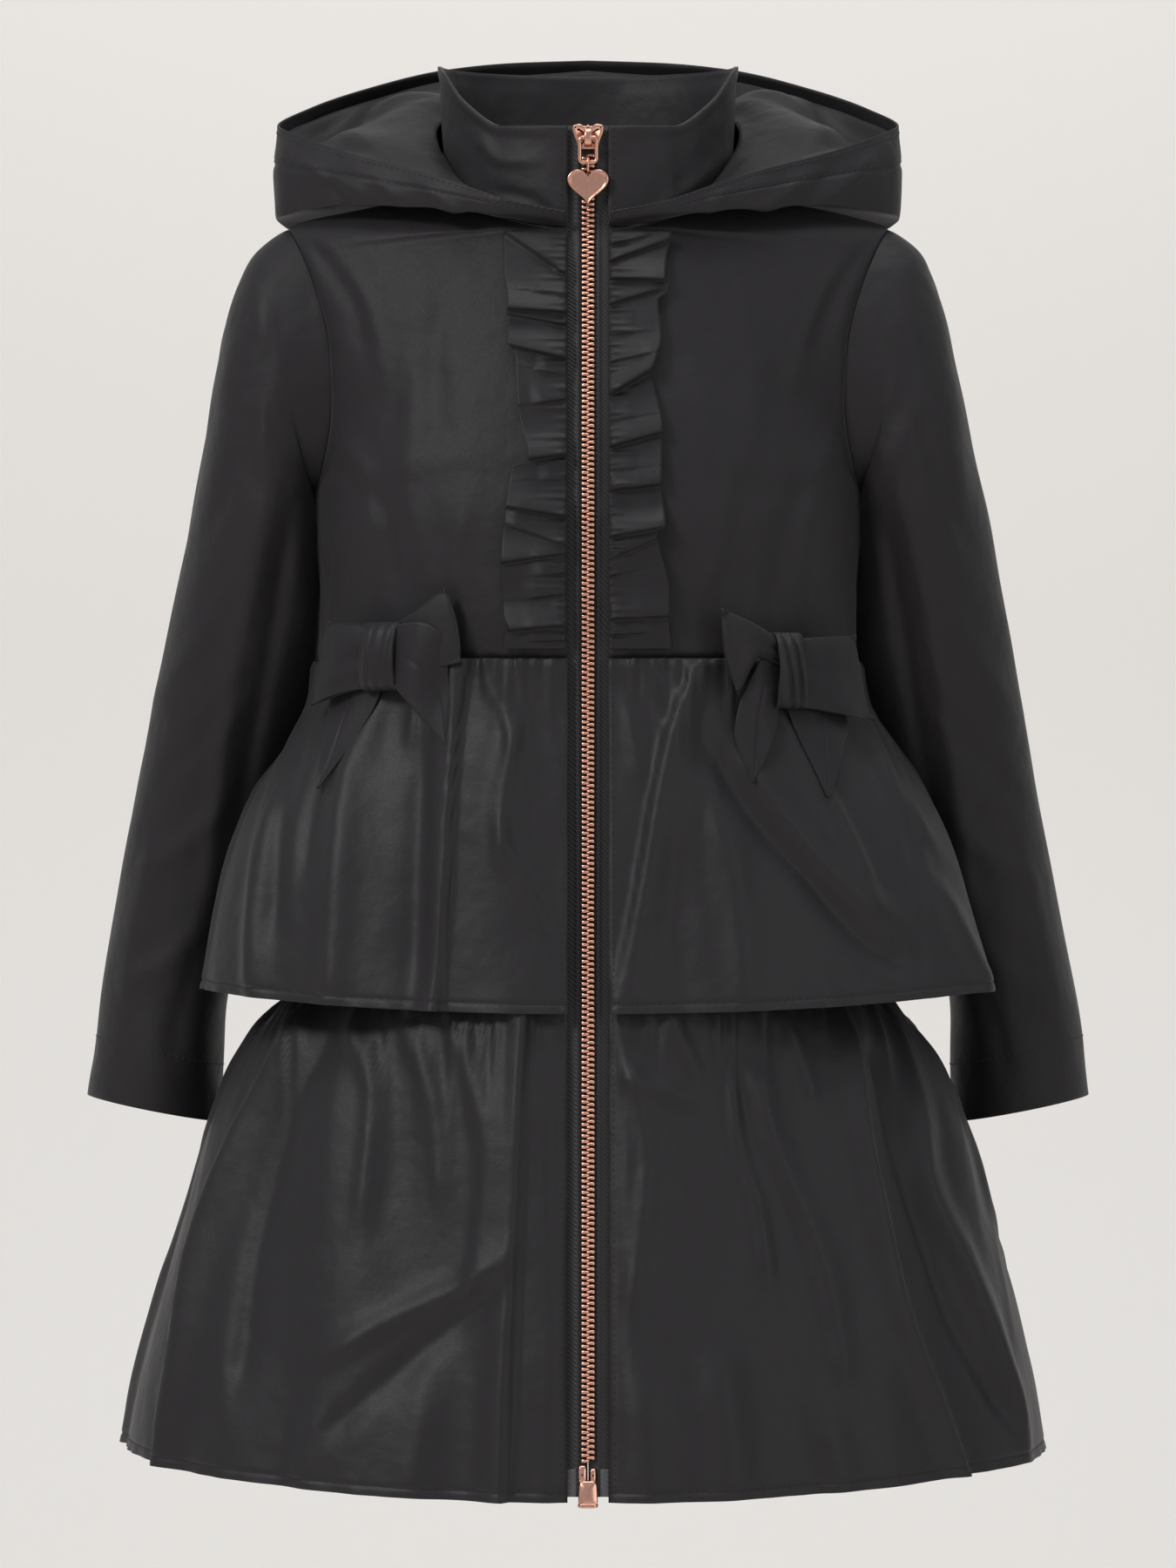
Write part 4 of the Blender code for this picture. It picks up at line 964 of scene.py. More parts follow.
def sleeve_points(rings, angle):
    """Gives the right sleeve's rings from the armhole to the cuff."""
    cosine = np.cos(np.radians(angle))
    sine = np.sin(np.radians(angle))
    grid = []
    for number in rings:
        size = {name: SLEEVE.at(name, number) for name in SLEEVE.names[1:]}
        wide = (size["out_x"] - size["in_x"]) / 2
        tall = (size["out_z"] - size["in_z"]) / 2
        crease = np.interp(number, range(len(SLEEVE_CREASES)), SLEEVE_CREASES)
        depth = size["depth"] + crease * np.cos(np.radians(3 * angle + 40 * number))
        points = np.stack(
            [
                size["out_x"] - wide + wide * cosine,
                size["middle"] - depth * sine,
                size["out_z"] - tall + tall * cosine,
            ],
            axis=-1,
        )
        if number < 0.5:
            share = ease(number, 0, 0.5)
            first = armhole_point(angle) * (1, 0.965, 1) + (GAP - 1.6 * (1 - share), 0, 0)
            first[:, 2] = -58 + (first[:, 2] + 58) * 0.975
            points = first * (1 - share) + points * share
        grid.append(points)
    return np.array(grid)


def add_sleeves():
    made = {}
    angle = np.linspace(0, 360, 109)[:-1]
    tall = 9.0
    rings = np.concatenate([np.linspace(0, 0.5, 10), np.linspace(0.56, 8.9, 96), [8.93, 8.96, 9.0]])
    grid = sleeve_points(rings, angle)
    # The inner side rests on the bodice from the armhole down to the waist.
    inner = ease(-np.cos(np.radians(angle)), 0.1, 0.9)
    near = ease(rings, 0.2, 1.1) * (1 - ease(rings, 4.6, 6.2))
    grid[..., 0] -= 4.2 * inner[None, :] * near[:, None]
    out = grid_normals(grid, closed=True)
    middle = grid.mean(axis=1, keepdims=True)
    if np.sum(out[30:] * (grid - middle)[30:]) < 0:
        out = -out
    level = grid[0] - middle[0]
    level[:, 0] = 0
    out[0] = unit(level)
    turn = ease(rings, 0, 0.6)[:, None, None]
    out = unit(out * turn + out[:1] * (1 - turn))
    sine = np.sin(np.radians(angle))[None, :]
    ahead = ease(sine, -0.25, 0.25)
    to_cuff = (tall - rings[:, None]) * 51.0
    x, z = grid[..., 0], grid[..., 2]
    for side, word in ((LEFT, "left"), (RIGHT, "right")):
        shift = 0 if side < 0 else 9
        front = crease_height(SLEEVE_FRONT_CREASES, x, z + shift * 0.6)
        back = crease_height(SLEEVE_FRONT_CREASES, x + 3, z + 14 + shift)
        height = front * ahead + 0.8 * back * (1 - ahead)
        around = np.radians(angle)[None, :] * 36
        height += 0.5 * ripple(around, rings[:, None] * 51, 10, 2.2 + side)
        height += 0.8 * np.sin(2 * np.radians(angle)[None, :] + rings[:, None] * 1.4 + side)
        height *= ease(rings[:, None], 0.15, 1.2) * ease(to_cuff, 2, 30)
        height -= 0.6 * np.exp(-(((to_cuff - 21.0) / 1.2) ** 2))
        height += seam_dip(rings[:, None] * 60, 0.5, 3.0)
        outer = (grid + out * height[..., None]) * (side, 1, 1)
        piece = f"sleeve_{word}"
        made[piece] = add_shell(piece, piece, outer, out * (side, 1, 1), closed=True)
    return made


# Collar, hood and its lining.


def neck_out(angle):
    """Gives the level direction out of the neck."""
    ahead = angle < 90
    wide = np.where(ahead, 62 - ZIP_EDGE, 62)
    deep = np.where(ahead, 58, 46)
    sine = np.sin(np.radians(angle))
    cosine = np.cos(np.radians(angle))
    return unit(np.stack([deep * sine, -wide * cosine, np.zeros_like(angle)], axis=-1))


COLLAR_CREASES = (
    Crease(((-49, 39), (-36, 27), (-21, 26)), 3, 3, 1.1, 8),
    Crease(((-41, 14), (-24, 9), (-10, -4)), 3, 3, -1.0, 8),
    Crease(((67, 39), (47, 18), (18, -4)), 3.5, 3, 1.3, 10),
    Crease(((30, 34), (36, 18), (32, 4)), 3, 3, 0.9, 8),
    Crease(((-60, 44), (-54, 20), (-46, 4)), 4, 4, 1.1, 10),
)


def add_collar():
    angle = np.linspace(0, 180, 121)
    rise = np.linspace(0, 1, 30)[:, None]
    base = neck_point(angle)
    out = neck_out(angle)
    top = COLLAR_TOP.at("z", angle)
    lean = COLLAR_TOP.at("lean", angle)
    half = base + out * (lean * rise)[..., None]
    foot = base[:, 2] + 0.7
    half[..., 2] = foot + (top - foot) * rise
    outer = both_sides(half)
    turned = both_sides(np.broadcast_to(out, half.shape))
    x, z = outer[..., 0], outer[..., 2]
    ahead = ease(-outer[..., 1], -10, 15)
    edge = ease(np.abs(x), ZIP_EDGE, ZIP_EDGE + 9)
    ends = ease(rise, 0, 0.18) * ease(1 - rise, 0.0, 0.12)
    height = crease_height(COLLAR_CREASES, x, z) * ahead
    height += 0.4 * ripple(x + outer[..., 1], z, 8, 5.2)
    height = height * edge * ends
    # The upper edge rolls a little outward.
    height += 0.7 * ease(rise, 0.86, 0.95) * ease(np.abs(x), 9, 20)
    thick = SHELL + 0.9 * ease(np.abs(x), 10, 24)
    inner = outer + turned * (height - thick)[..., None]
    outer = outer + turned * height[..., None]
    rows, cols = outer.shape[:2]
    points = np.concatenate([outer.reshape(-1, 3), inner.reshape(-1, 3)])
    faces = shell_faces(rows, cols)
    SURFACES["collar"] = (outer, turned)
    return add_mesh("collar", points, faces, CLOTH, "collar")


def hood_grid(angle, rise):
    """Gives the right half of the hood from the neck seam out and up to the rim."""
    size = {name: HOOD.at(name, angle) for name in HOOD.names[1:]}
    start = neck_point(angle) + neck_out(angle) * 0.7
    start[:, 2] += 0.6
    rim = np.stack([size["rim_x"], size["rim_y"], size["rim_z"]], axis=-1)
    stations = [start]
    for place in ("low", "wide", "high"):
        point = start + (rim - start) * size[place][:, None]
        point[:, 2] = size[place + "_z"]
        stations.append(point)
    stations.append(rim)
    return curve((0, 0.22, 0.5, 0.74, 1), np.array(stations), rise)


HOOD_CREASES = (
    Crease(((-127, 30), (-110, 20), (-96, 12)), 3, 3, 1.4, 8),
    Crease(((-92, 21), (-86, 14), (-80, 9)), 2.5, 3, 1.3, 6),
    Crease(((-73, 19), (-62, 8), (-51, 0)), 3, 3, 1.3, 8),
    Crease(((-115, 26), (-104, 8)), 3, 3, -1.1, 8),
    Crease(((-44, 12), (-36, 2)), 2.5, 3, 0.9, 6),
    Crease(((95, 21), (82, 10), (69, 2)), 3, 3, 1.4, 8),
    Crease(((126, 34), (112, 18), (100, 10)), 3, 3, 1.3, 8),
    Crease(((60, 14), (50, 3)), 2.5, 3, 1.0, 6),
    Crease(((110, 28), (96, 14)), 3, 3, -1.0, 8),
)
HOOD_BACK_CREASES = (
    Crease(((-96, 52), (-84, 20), (-70, -8)), 5, 4, 2.0, 14),
    Crease(((-62, 70), (-56, 30), (-40, -20)), 6, 5, 2.4, 16),
    Crease(((-24, 74), (-20, 30), (-10, -30)), 6, 6, -2.0, 18),
    Crease(((14, 78), (18, 36), (10, -34)), 6, 6, 2.4, 16),
    Crease(((52, 72), (46, 24), (34, -26)), 5, 7, 2.2, 16),
    Crease(((92, 54), (80, 22), (68, -6)), 5, 4, 1.9, 14),
)


def add_hood():
    made = {}
    angle = np.concatenate([np.linspace(0, 90, 70), np.linspace(91.4, 180, 64)])
    rise = np.concatenate([np.linspace(0, 0.93, 46), np.linspace(0.94, 1, 7)])
    half = hood_grid(angle, rise)
    out = grid_normals(half)
    if out[14, 69, 2] > 0:
        out = -out
    out[:, -1, 0] = 0
    out = unit(out)
    outer = both_sides(half)
    turned = both_sides(out)
    x, y, z = outer[..., 0], outer[..., 1], outer[..., 2]
    ahead = ease(-y, -24, 4)
    share = rise[:, None]
    height = crease_height(HOOD_CREASES, x, z) * ahead
    height += crease_height(HOOD_BACK_CREASES, x, z) * (1 - ahead)
    height += 0.5 * ripple(x * 1.2, z * 1.4 + y, 8, 6.4)
    height *= ease(share, 0.0, 0.12) * ease(1 - share, 0.0, 0.10) * ease(np.abs(x) + np.abs(y + 58), 6, 24)
    # A hem's stitched line runs round under the rim.
    seam = (1 - share) * 62
    height -= 0.7 * np.exp(-(((seam - 13.0) / 1.3) ** 2)) * ease(np.abs(x), 30, 70)
    outer = outer + turned * height[..., None]
    made["hood_shell"] = add_shell("hood_shell", "hood_shell", outer, turned)

    angle = np.linspace(24, 180, 96)
    lean = COLLAR_TOP.at("lean", angle)[:, None].clip(0)
    start = neck_point(angle) + neck_out(angle) * (lean + 1.0)
    size = {name: HOOD.at(name, angle) for name in HOOD.names[1:]}
    rim = np.stack([size["rim_x"], size["rim_y"], size["rim_z"]], axis=-1)
    end = rim - unit((rim - start) * (1, 1, 0)) * 3.4
    share = np.linspace(0, 1, 34)
    upper = start + (end - start) * share[:, None, None]
    heights = np.array([LINING.at(name, angle) for name in LINING.names[1:]])
    upper[..., 2] = curve((0, 0.3, 0.6, 0.85, 1), heights, share)
    out = grid_normals(upper)
    if out[22, 48, 2] < 0:
        out = -out
    out[:, -1, 0] = 0
    out = unit(out)
    upper = both_sides(upper)
    turned = both_sides(out)
    x, y = upper[..., 0], upper[..., 1]
    keep = ease(share, 0, 0.2)[:, None] * ease(1 - share, 0, 0.12)[:, None]
    height = 0.7 * ripple(x, y, 9, 7.7) * keep
    height += 1.4 * np.sin(x / 12 + np.sin(y / 17)) * keep
    upper = upper + turned * height[..., None]
    made["hood_lining"] = add_shell("hood_lining", "hood_lining", upper, turned, INSIDE)
    return made


# Ruffles beside the zip.


RUFFLE_TOP = -5
RUFFLE_FOOT = -184
RUFFLE_LIFT = 1.7
# How far each ruffle reaches from the zip's edge, with the jogs where a pleat laps over.
RUFFLE_REACH = {
    LEFT: Table(
        "z width",
        [
            (-184, 27),
            (-178, 26.5),
            (-176, 24.5),
            (-170, 27),
            (-146, 28),
            (-131, 27),
            (-123.5, 26),
            (-107, 23.5),
            (-104.5, 16),
            (-86, 20),
            (-80, 21),
            (-57, 22.5),
            (-54, 25.5),
            (-37, 25.5),
            (-22, 27),
            (-4, 27.5),
        ],
    ),
    RIGHT: Table(
        "z width",
        [
            (-184, 27),
            (-173, 25.5),
            (-161, 25.5),
            (-134.5, 20.5),
            (-132, 24),
            (-114, 22),
            (-91, 22.5),
            (-72, 19),
            (-67.5, 17.5),
            (-61, 19.5),
            (-50, 22),
            (-35, 21),
            (-29.5, 26),
            (-26, 24),
            (-18, 24.5),
            (-7, 26.5),
        ],
    ),
}
# The pleats: height at the zip, height at the outer edge, how far the cloth above stands
# out over the cloth below, and how far across the pleat runs, from 0 to 1.
Pleat = namedtuple("Pleat", "seam edge height reach")
RUFFLE_PLEATS = {
    LEFT: (
        Pleat(-25, -5, 2.0, 1),
        Pleat(-32, -30, 1.2, 0.5),
        Pleat(-40, -38.5, 2.6, 1),
        Pleat(-46, -40.5, 1.6, 1),
        Pleat(-60.5, -54, 3.0, 1),
        Pleat(-68, -62, 1.3, 0.45),
        Pleat(-77, -82, 1.4, 0.5),
        Pleat(-101, -104.5, 3.2, 1),
        Pleat(-112, -113, 1.0, 0.4),
        Pleat(-128, -123.5, 2.8, 1),
        Pleat(-141, -131, 1.8, 0.9),
        Pleat(-143, -147, 2.4, 1),
        Pleat(-151, -155, 1.4, 0.5),
        Pleat(-160, -164, 1.5, 0.6),
        Pleat(-173.5, -176, 3.0, 1),
        Pleat(-180, -181, 1.2, 0.6),
    ),
    RIGHT: (
        Pleat(-11, -4, 1.6, 0.6),
        Pleat(-18.5, -8, 2.0, 1),
        Pleat(-25, -26, 2.6, 1),
        Pleat(-37, -28.5, 1.8, 0.8),
        Pleat(-50, -47, 1.0, 0.4),
        Pleat(-62, -56, 1.4, 0.6),
        Pleat(-77, -60, 3.0, 1),
        Pleat(-87, -83, 1.0, 0.4),
        Pleat(-98.5, -90.8, 2.6, 1),
        Pleat(-108, -106, 1.0, 0.4),
        Pleat(-117, -113.5, 2.6, 1),
        Pleat(-136.5, -132, 3.2, 1),
        Pleat(-146.5, -134.5, 1.6, 0.9),
        Pleat(-153, -147, 1.3, 0.4),
        Pleat(-171, -170, 2.6, 1),
        Pleat(-178, -176, 1.3, 0.6),
    ),
}


def front_depth(x, z):
    """Gives where the front of the bodice lies, at points of the front view."""
    front = bodice_grid(False, 40)[: NECK_ROW + 1]
    row = np.interp(z, front[:, 0, 2], np.arange(NECK_ROW + 1.0))
    low = np.minimum(np.floor(row).astype(int), NECK_ROW - 1)
    depth = np.zeros(np.shape(x))
    for r in range(NECK_ROW):
        for k, share in ((r, 1 - (row - r)), (r + 1, row - r)):
            line = np.interp(x, front[k, :, 0], front[k, :, 1])
            depth += np.where(low == r, line * share, 0)
    return depth


def pleat_height(pleats, z, away):
    """Gives the height of pleats that run across a ruffle; away is from the zip."""
    creases = []
    for pleat in pleats:
        far = 30.0 * pleat.reach
        edge = pleat.seam + (pleat.edge - pleat.seam) * far / 26.0
        path = [(pleat.seam, 2.0), (edge, -far)]
        if pleat.reach == 1:
            path.append((edge + (edge - pleat.seam) * 8.0 / far, -far - 8.0))
        creases.append(Crease(path, 0.6, 8.0, 1.3 * pleat.height, 5.0))
    return crease_height(creases, z, -away)


def add_ruffles():
    made = {}
    for word, side in (("left", LEFT), ("right", RIGHT)):
        z = np.linspace(RUFFLE_FOOT, RUFFLE_TOP, 360)[:, None]
        share = np.linspace(0, 1, 22)[None, :]
        away = RUFFLE_REACH[side].at("width", z) * share
        x = ZIP_EDGE + 0.5 + away
        up = z + 0 * share
        lift = RUFFLE_LIFT + 1.5 * share + pleat_height(RUFFLE_PLEATS[side], up, away)
        lift = lift + gather_lines(up, away, 3.6, 1.4, 8.0, 2.0 + side)
        lift += 0.5 * ripple(up, away * 0.6, 7.0, 3.0 + side) * ease(away, 2, 9)
        lift += 1.3 * share**3 * (0.5 + 0.5 * np.sin(z / 8.5 + side))
        y = front_depth(x, np.clip(up, WAIST, -5)) - np.maximum(lift, 1.1)
        outer = np.stack([side * x, y, up], axis=-1)
        out = grid_normals(outer)
        if out[:, :, 1].mean() > 0:
            out = -out
        piece = f"ruffle_{word}"
        made[piece] = add_shell(piece, piece, outer, out, CRISP, thick=0.7)
    return made


# Bows on the waist seam: the knot's angle and height, its half width and half height, and
# for each flap its upper and lower edge from the knot on, as (along, up); along runs
# towards the coat's side. The tails are drawn back by flare, because the tier widens.
Bow = namedtuple("Bow", "side angle z knot flare loops tails")
BOWS = (
    Bow(
        LEFT,
        41.6,
        -187,
        (8.2, 14.6),
        0.12,
        (
            (((2, 13), (12, 14), (30, 15.5)), ((2, -12.5), (18, -15.5), (36.5, -20.5)), 1.0),
            (((-2, 12), (-13, 18), (-28, 29)), ((-2, -9), (-20, -6), (-34.5, -3)), 0.45),
        ),
        (
            (
                ((26, -6), (33, -18), (28, -36), (22, -56)),
                ((2, -6), (4, -15), (12, -36), (21.3, -56)),
                5.0,
            ),
            (
                ((-4, 13), (-17, 14.5), (-28.5, 6), (-29.3, -37)),
                ((-4, -9), (-15, -22), (-28.8, -38)),
                11.6,
            ),
        ),
    ),
    Bow(
        RIGHT,
        39.7,
        -193,
        (6.4, 16.2),
        0.27,
        (
            (((2, 13), (10, 14), (37.6, 15.5)), ((2, -15), (20, -18), (41.4, -21)), 1.0),
            (((-2, 13), (-14, 19), (-29, 26)), ((-2, 2), (-13, 5), (-23, -10.5)), 1.0),
        ),
        (
            (
                ((20, -9), (34, -19), (25, -36), (16, -54)),
                ((1, -9), (3, -18), (9, -36), (15.3, -54)),
                5.4,
            ),
            (
                ((-3, 10), (-2.3, -3), (-3, -20), (-13.3, -48)),
                ((-9, 9), (-20, -12), (-21.5, -26), (-13.7, -48)),
                8.2,
            ),
        ),
    ),
)
KNOT_ARCH = ((-15, 6.0), (-15.6, 8.6), (-12, 12.8), (0, 14.8), (12, 12.8), (15.6, 8.6), (15, 4.0))
LOOP_PATH = (
    (0.0, 6.8),
    (0.35, 6.1),
    (0.72, 6.3),
    (0.93, 7.2),
    (1.0, 9.4),
    (0.95, 11.8),
    (0.7, 13.2),
    (0.36, 12.0),
    (0.0, 10.0),
)


class Ground:
    """The surface a bow lies on: the short tier, carried straight up over the bodice."""

    def __init__(self, bow):
        self.side = bow.side
        self.z = bow.z
        angle = np.linspace(0, 180, 181)
        points, _ = ring(PEPLUM, np.full(181, bow.side), angle, np.full(181, -190.0))
        steps = np.linalg.norm(np.diff(points, axis=0), axis=1)
        self.arcs = np.concatenate([[0], np.cumsum(steps)])
        self.angles = angle
        self.middle = np.interp(bow.angle, angle, self.arcs)

    def point(self, along, up, out):
        """Gives a point along mm towards the side, up mm and out mm from the knot."""
        along, up, out = np.broadcast_arrays(along, up, out)
        angle = np.interp(self.middle + along, self.arcs, self.angles)
        z = self.z + up
        points, level = ring(PEPLUM, np.full(z.shape, self.side), angle, np.minimum(z, WAIST))
        points = points + level * out[..., None]
        points[..., 2] = z
        return points


def add_bow_piece(name, outer, away, thick=0.7):
    """Makes one cloth piece of a bow; away is a direction on its outer side."""
    out = grid_normals(outer)
    if np.sum(out * away) < 0:
        out = -out
    return add_shell(name, name, outer, out, CRISP, thick=thick)


def edge_at(edge, share):
    """Runs along a flap's edge, from 0 at the knot to 1 at its end."""
    edge = np.array(edge, dtype=float)
    return curve(np.linspace(0, 1, len(edge)), edge, share)


def add_bow(word, bow):
    made = {}
    ground = Ground(bow)
    across = np.linspace(-1, 1, 31)[None, :]
    spine = np.array(LOOP_PATH)
    for part, (top, bottom, puff) in zip(("outer", "inner"), bow.loops):
        keys = np.linspace(0, len(spine) - 1, 70)
        path = curve(np.arange(float(len(spine))), spine, keys)
        share = path[:, 0]
        high, low = edge_at(top, share), edge_at(bottom, share)
        mix = (across.T + 1) / 2
        flat = low[:, None] * (1 - mix)[None, :, :] + high[:, None] * mix[None, :, :]
        end = (ease(share, 0.8, 1)[:, None] * (1 - across**2)) * 2.0
        along = flat[..., 0] + np.sign(top[-1][0]) * end
        front = ease(keys[:, None], 3.4, 5.2)
        rise = 7.0 + (path[:, 1:] - 7.0) * puff
        # The edges are turned in, and a few pleats fan out of the knot.
        turned = 2.4 * np.abs(across) ** 5 * ease(share[:, None], 0, 0.3) * puff
        fan = np.cos(math.pi * (across * 2.6 + 0.8 * bow.side)) * np.exp(-share[:, None] * 4.2)
        soft = 0.35 * np.sin(along / 6.5 + across * 2.4 + bow.side) * puff
        out = rise + (0.9 * fan + soft - turned) * (2 * front - 1)
        outer = ground.point(along, flat[..., 1], out)
        middle = outer.mean(axis=(0, 1), keepdims=True)
        name = f"bow_{word}_loop_{part}"
        made[name] = add_bow_piece(name, outer, outer - middle)
    for part, (top, bottom, proud) in zip(("outer", "inner"), bow.tails):
        share = np.linspace(0, 1, 46)
        high, low = edge_at(top, share), edge_at(bottom, share)
        mix = (across.T + 1) / 2
        flat = low[:, None] * (1 - mix)[None, :, :] + high[:, None] * mix[None, :, :]
        flat[..., 0] += bow.flare * np.minimum(flat[..., 1] + 8, 0)
        fold = 0.8 * (1 - across**2) * ease(1 - share[:, None], 0, 0.5)
        fold = fold + 0.5 * np.sin(flat[..., 0] / 4.0 + flat[..., 1] / 9.0) * (1 - across**2)
        # A stitched seam runs down the middle.
        fold = fold - 0.5 * np.exp(-((across / 0.05) ** 2)) * ease(share[:, None], 0.2, 0.5)
        sink = (proud - 4.5) * ease(share[:, None], 0.35, 1.0) * 0.8
        outer = ground.point(flat[..., 0], flat[..., 1], proud + fold - sink)
        level = ground.point(flat[..., 0], flat[..., 1], proud + 9 + 0 * fold) - outer
        name = f"bow_{word}_tail_{part}"
        made[name] = add_bow_piece(name, outer, level)
    half, tall = bow.knot
    keys = np.linspace(0, len(KNOT_ARCH) - 1, 44)
    line = curve(np.arange(float(len(KNOT_ARCH))), np.array(KNOT_ARCH), keys)
    line[:, 0] *= tall / 15.6
    along = np.linspace(-1, 1, 30)[None, :] * half
    pinch = 1 - 0.08 * ease(1 - np.abs(line[:, :1]) / tall, 0, 1)
    bulge = 0.9 * (1 - (along / half) ** 2) + 0.3 * np.cos(along * 1.3 + line[:, :1] / 9)
    if bow.side == RIGHT:
        # This knot is drawn up into three soft folds.
        bulge = bulge + 0.8 * np.cos(along * 1.55 + line[:, :1] / 14)
    outer = ground.point(along * pinch, line[:, :1], line[:, 1:] + bulge)
    level = ground.point(along * pinch, line[:, :1], line[:, 1:] + 5) - outer
    name = f"bow_{word}_knot"
    made[name] = add_bow_piece(name, outer, level, 1.2)
    return made


# Zip, slider and pull.


class Pile:
    """Collects closed shapes that are to be one mesh."""

    def __init__(self):
        self.points = []
        self.faces = []
        self.size = 0

    def add(self, points, faces):
        points = np.asarray(points, dtype=float).reshape(-1, 3)
        self.points.append(points)
        self.faces.append(np.asarray(faces) + self.size)
        self.size += len(points)

    def make(self, name, material, node=None, body=BODY):
        faces = np.concatenate(self.faces)
        return add_mesh(name, np.concatenate(self.points), faces, material, node, body)


def lathe_faces(rows, cols):
    """Gives the quads of a closed tube of rings, ends left to the caller."""
    index = np.arange(rows * cols).reshape(rows, cols)
    index = np.concatenate([index, index[:, :1]], axis=1)
    a, b, e, d = index[:-1, :-1], index[:-1, 1:], index[1:, 1:], index[1:, :-1]
    return np.stack([a, b, e, d], axis=-1).reshape(-1, 4)


def pill(size, bevel, cols=16):
    """Gives a rounded block of the given size round the origin, as points and quads."""
    half = np.array(size) / 2
    turn = np.linspace(0, 2 * math.pi, cols, endpoint=False)
    power = 0.38
    flat_x = np.sign(np.cos(turn)) * np.abs(np.cos(turn)) ** power
    flat_z = np.sign(np.sin(turn)) * np.abs(np.sin(turn)) ** power
    rings = []
    shrink = bevel / half[[0, 2]].min()
    for level, inset in ((-1, 0.999), (-1, shrink), (-1, 0.4 * shrink), (0, 0), (1, 0.4 * shrink)):
        rings.append((level, inset))
    rings += [(1, shrink), (1, 0.999)]
    points = []
    for level, inset in rings:
        deep = level * (half[1] - (0.6 * bevel if inset == 0.4 * shrink else 0))
        scale = 1 - inset
        ring_points = [flat_x * half[0] * scale, np.full(cols, deep), flat_z * half[2] * scale]
        points.append(np.stack(ring_points, axis=-1))
    return np.concatenate(points), lathe_faces(len(rings), cols)


def wire(path, radius, sides=14):
    """Gives a closed wire round a closed path of points."""
    path = np.asarray(path, dtype=float)
    ahead = unit(np.roll(path, -1, axis=0) - np.roll(path, 1, axis=0))
    flat = unit(np.cross(path[1] - path[0], path[len(path) // 3] - path[0]))
    side = np.cross(ahead, flat)
    turn = np.linspace(0, 2 * math.pi, sides, endpoint=False)
    points = path[:, None] + side[:, None] * np.cos(turn)[None, :, None] * radius
    points = points + flat * np.sin(turn)[None, :, None] * radius
    rows = np.concatenate([points, points[:1]])
    faces = lathe_faces(len(rows), sides) % (len(path) * sides)
    return points.reshape(-1, 3), faces


PULL_Y = -55.4
LINK_TOP = 35.5
LINK_FOOT = 24.9
LINK_HALF = 3.6
LINK_WIRE = 0.9
RING_LOW = 22.7
RING_RADIUS = 1.9
RING_WIRE = 0.6
HEART_TOP = 21.8
HEART_FOOT = 6.4
HEART_HALF = 8.9
HEART_THICK = 2.0
TOOTH_PITCH = 2.35
CHAIN_TOP = 29.8
CHAIN_FOOT = -526.5
TAPE_TOP = 41.3
TAPE_FOOT = -537.8


def zip_line(z):
    """Gives the depth of the front line and its slope, for pieces that follow it."""
    y = FRONT_LINE.at("y", z)
    slope = (FRONT_LINE.at("y", z + 0.5) - FRONT_LINE.at("y", z - 0.5)) / 1.0
    return y, slope


def add_chain():
    """Makes the teeth: left and right ones in turn, each a bar with a rounded head."""
    teeth = Pile()
    block, faces = pill((4.2, 2.1, 1.75), 0.45, 12)
    count = int((CHAIN_TOP - CHAIN_FOOT - 3) / TOOTH_PITCH * 2)
    for k in range(count):
        side = LEFT if k % 2 else RIGHT
        z = CHAIN_TOP - 1.6 - k * TOOTH_PITCH / 2
        y, slope = zip_line(z)
        x = side * 1.15
        head = block.copy()
        inner = head[:, 0] * side < 0
        head[inner, 2] *= 0.62
        head[:, 1] += head[:, 2] * slope
        teeth.add(head + (x, y + 0.75, z), faces)
    made = teeth.make("zip_chain", METAL, "zip_chain")
    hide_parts("zip_chain_neck")
    return made


def add_tapes():
    made = {}
    z = np.linspace(TAPE_FOOT, TAPE_TOP, 200)[:, None]
    share = np.linspace(0, 1, 16)[None, :]
    for word, side in (("left", LEFT), ("right", RIGHT)):
        x = 0.15 + 12.85 * share
        y = FRONT_LINE.at("y", z) + 2.2
        cord = -0.7 * np.exp(-(((x - 4.3) / 0.8) ** 2))
        wave = 0.12 * np.sin(z / 9.0 + side) * share
        outer = np.stack(np.broadcast_arrays(side * x, y + cord + wave, z), axis=-1)
        out = np.broadcast_to(np.array([0.0, -1.0, 0.0]), outer.shape)
        piece = f"zip_tape_{word}"
        made[piece] = add_shell(piece, piece, outer, out, TAPE, thick=0.7)
    return made


def plate(outline, front, back, bevel):
    """Gives a flat bevelled plate of an upright outline of (x, z) points, facing -Y."""
    outline = np.asarray(outline, dtype=float)
    middle = outline.mean(axis=0)
    ahead = unit(np.roll(outline, -1, axis=0) - np.roll(outline, 1, axis=0))
    inward = np.stack([-ahead[:, 1], ahead[:, 0]], axis=-1)
    if np.sum(inward * (middle - outline)) < 0:
        inward = -inward
    turns = np.linspace(0, math.pi / 2, 3)
    rings = [(bevel * (1 - math.sin(t)), back - bevel * (1 - math.cos(t))) for t in turns]
    rings += [(bevel * (1 - math.cos(t)), front + bevel * (1 - math.sin(t))) for t in turns]
    points = []
    for inset, y in rings:
        flat = outline + inward * inset
        points.append(np.stack([flat[:, 0], np.full(len(flat), y), flat[:, 1]], axis=-1))
    return np.array(points), inward


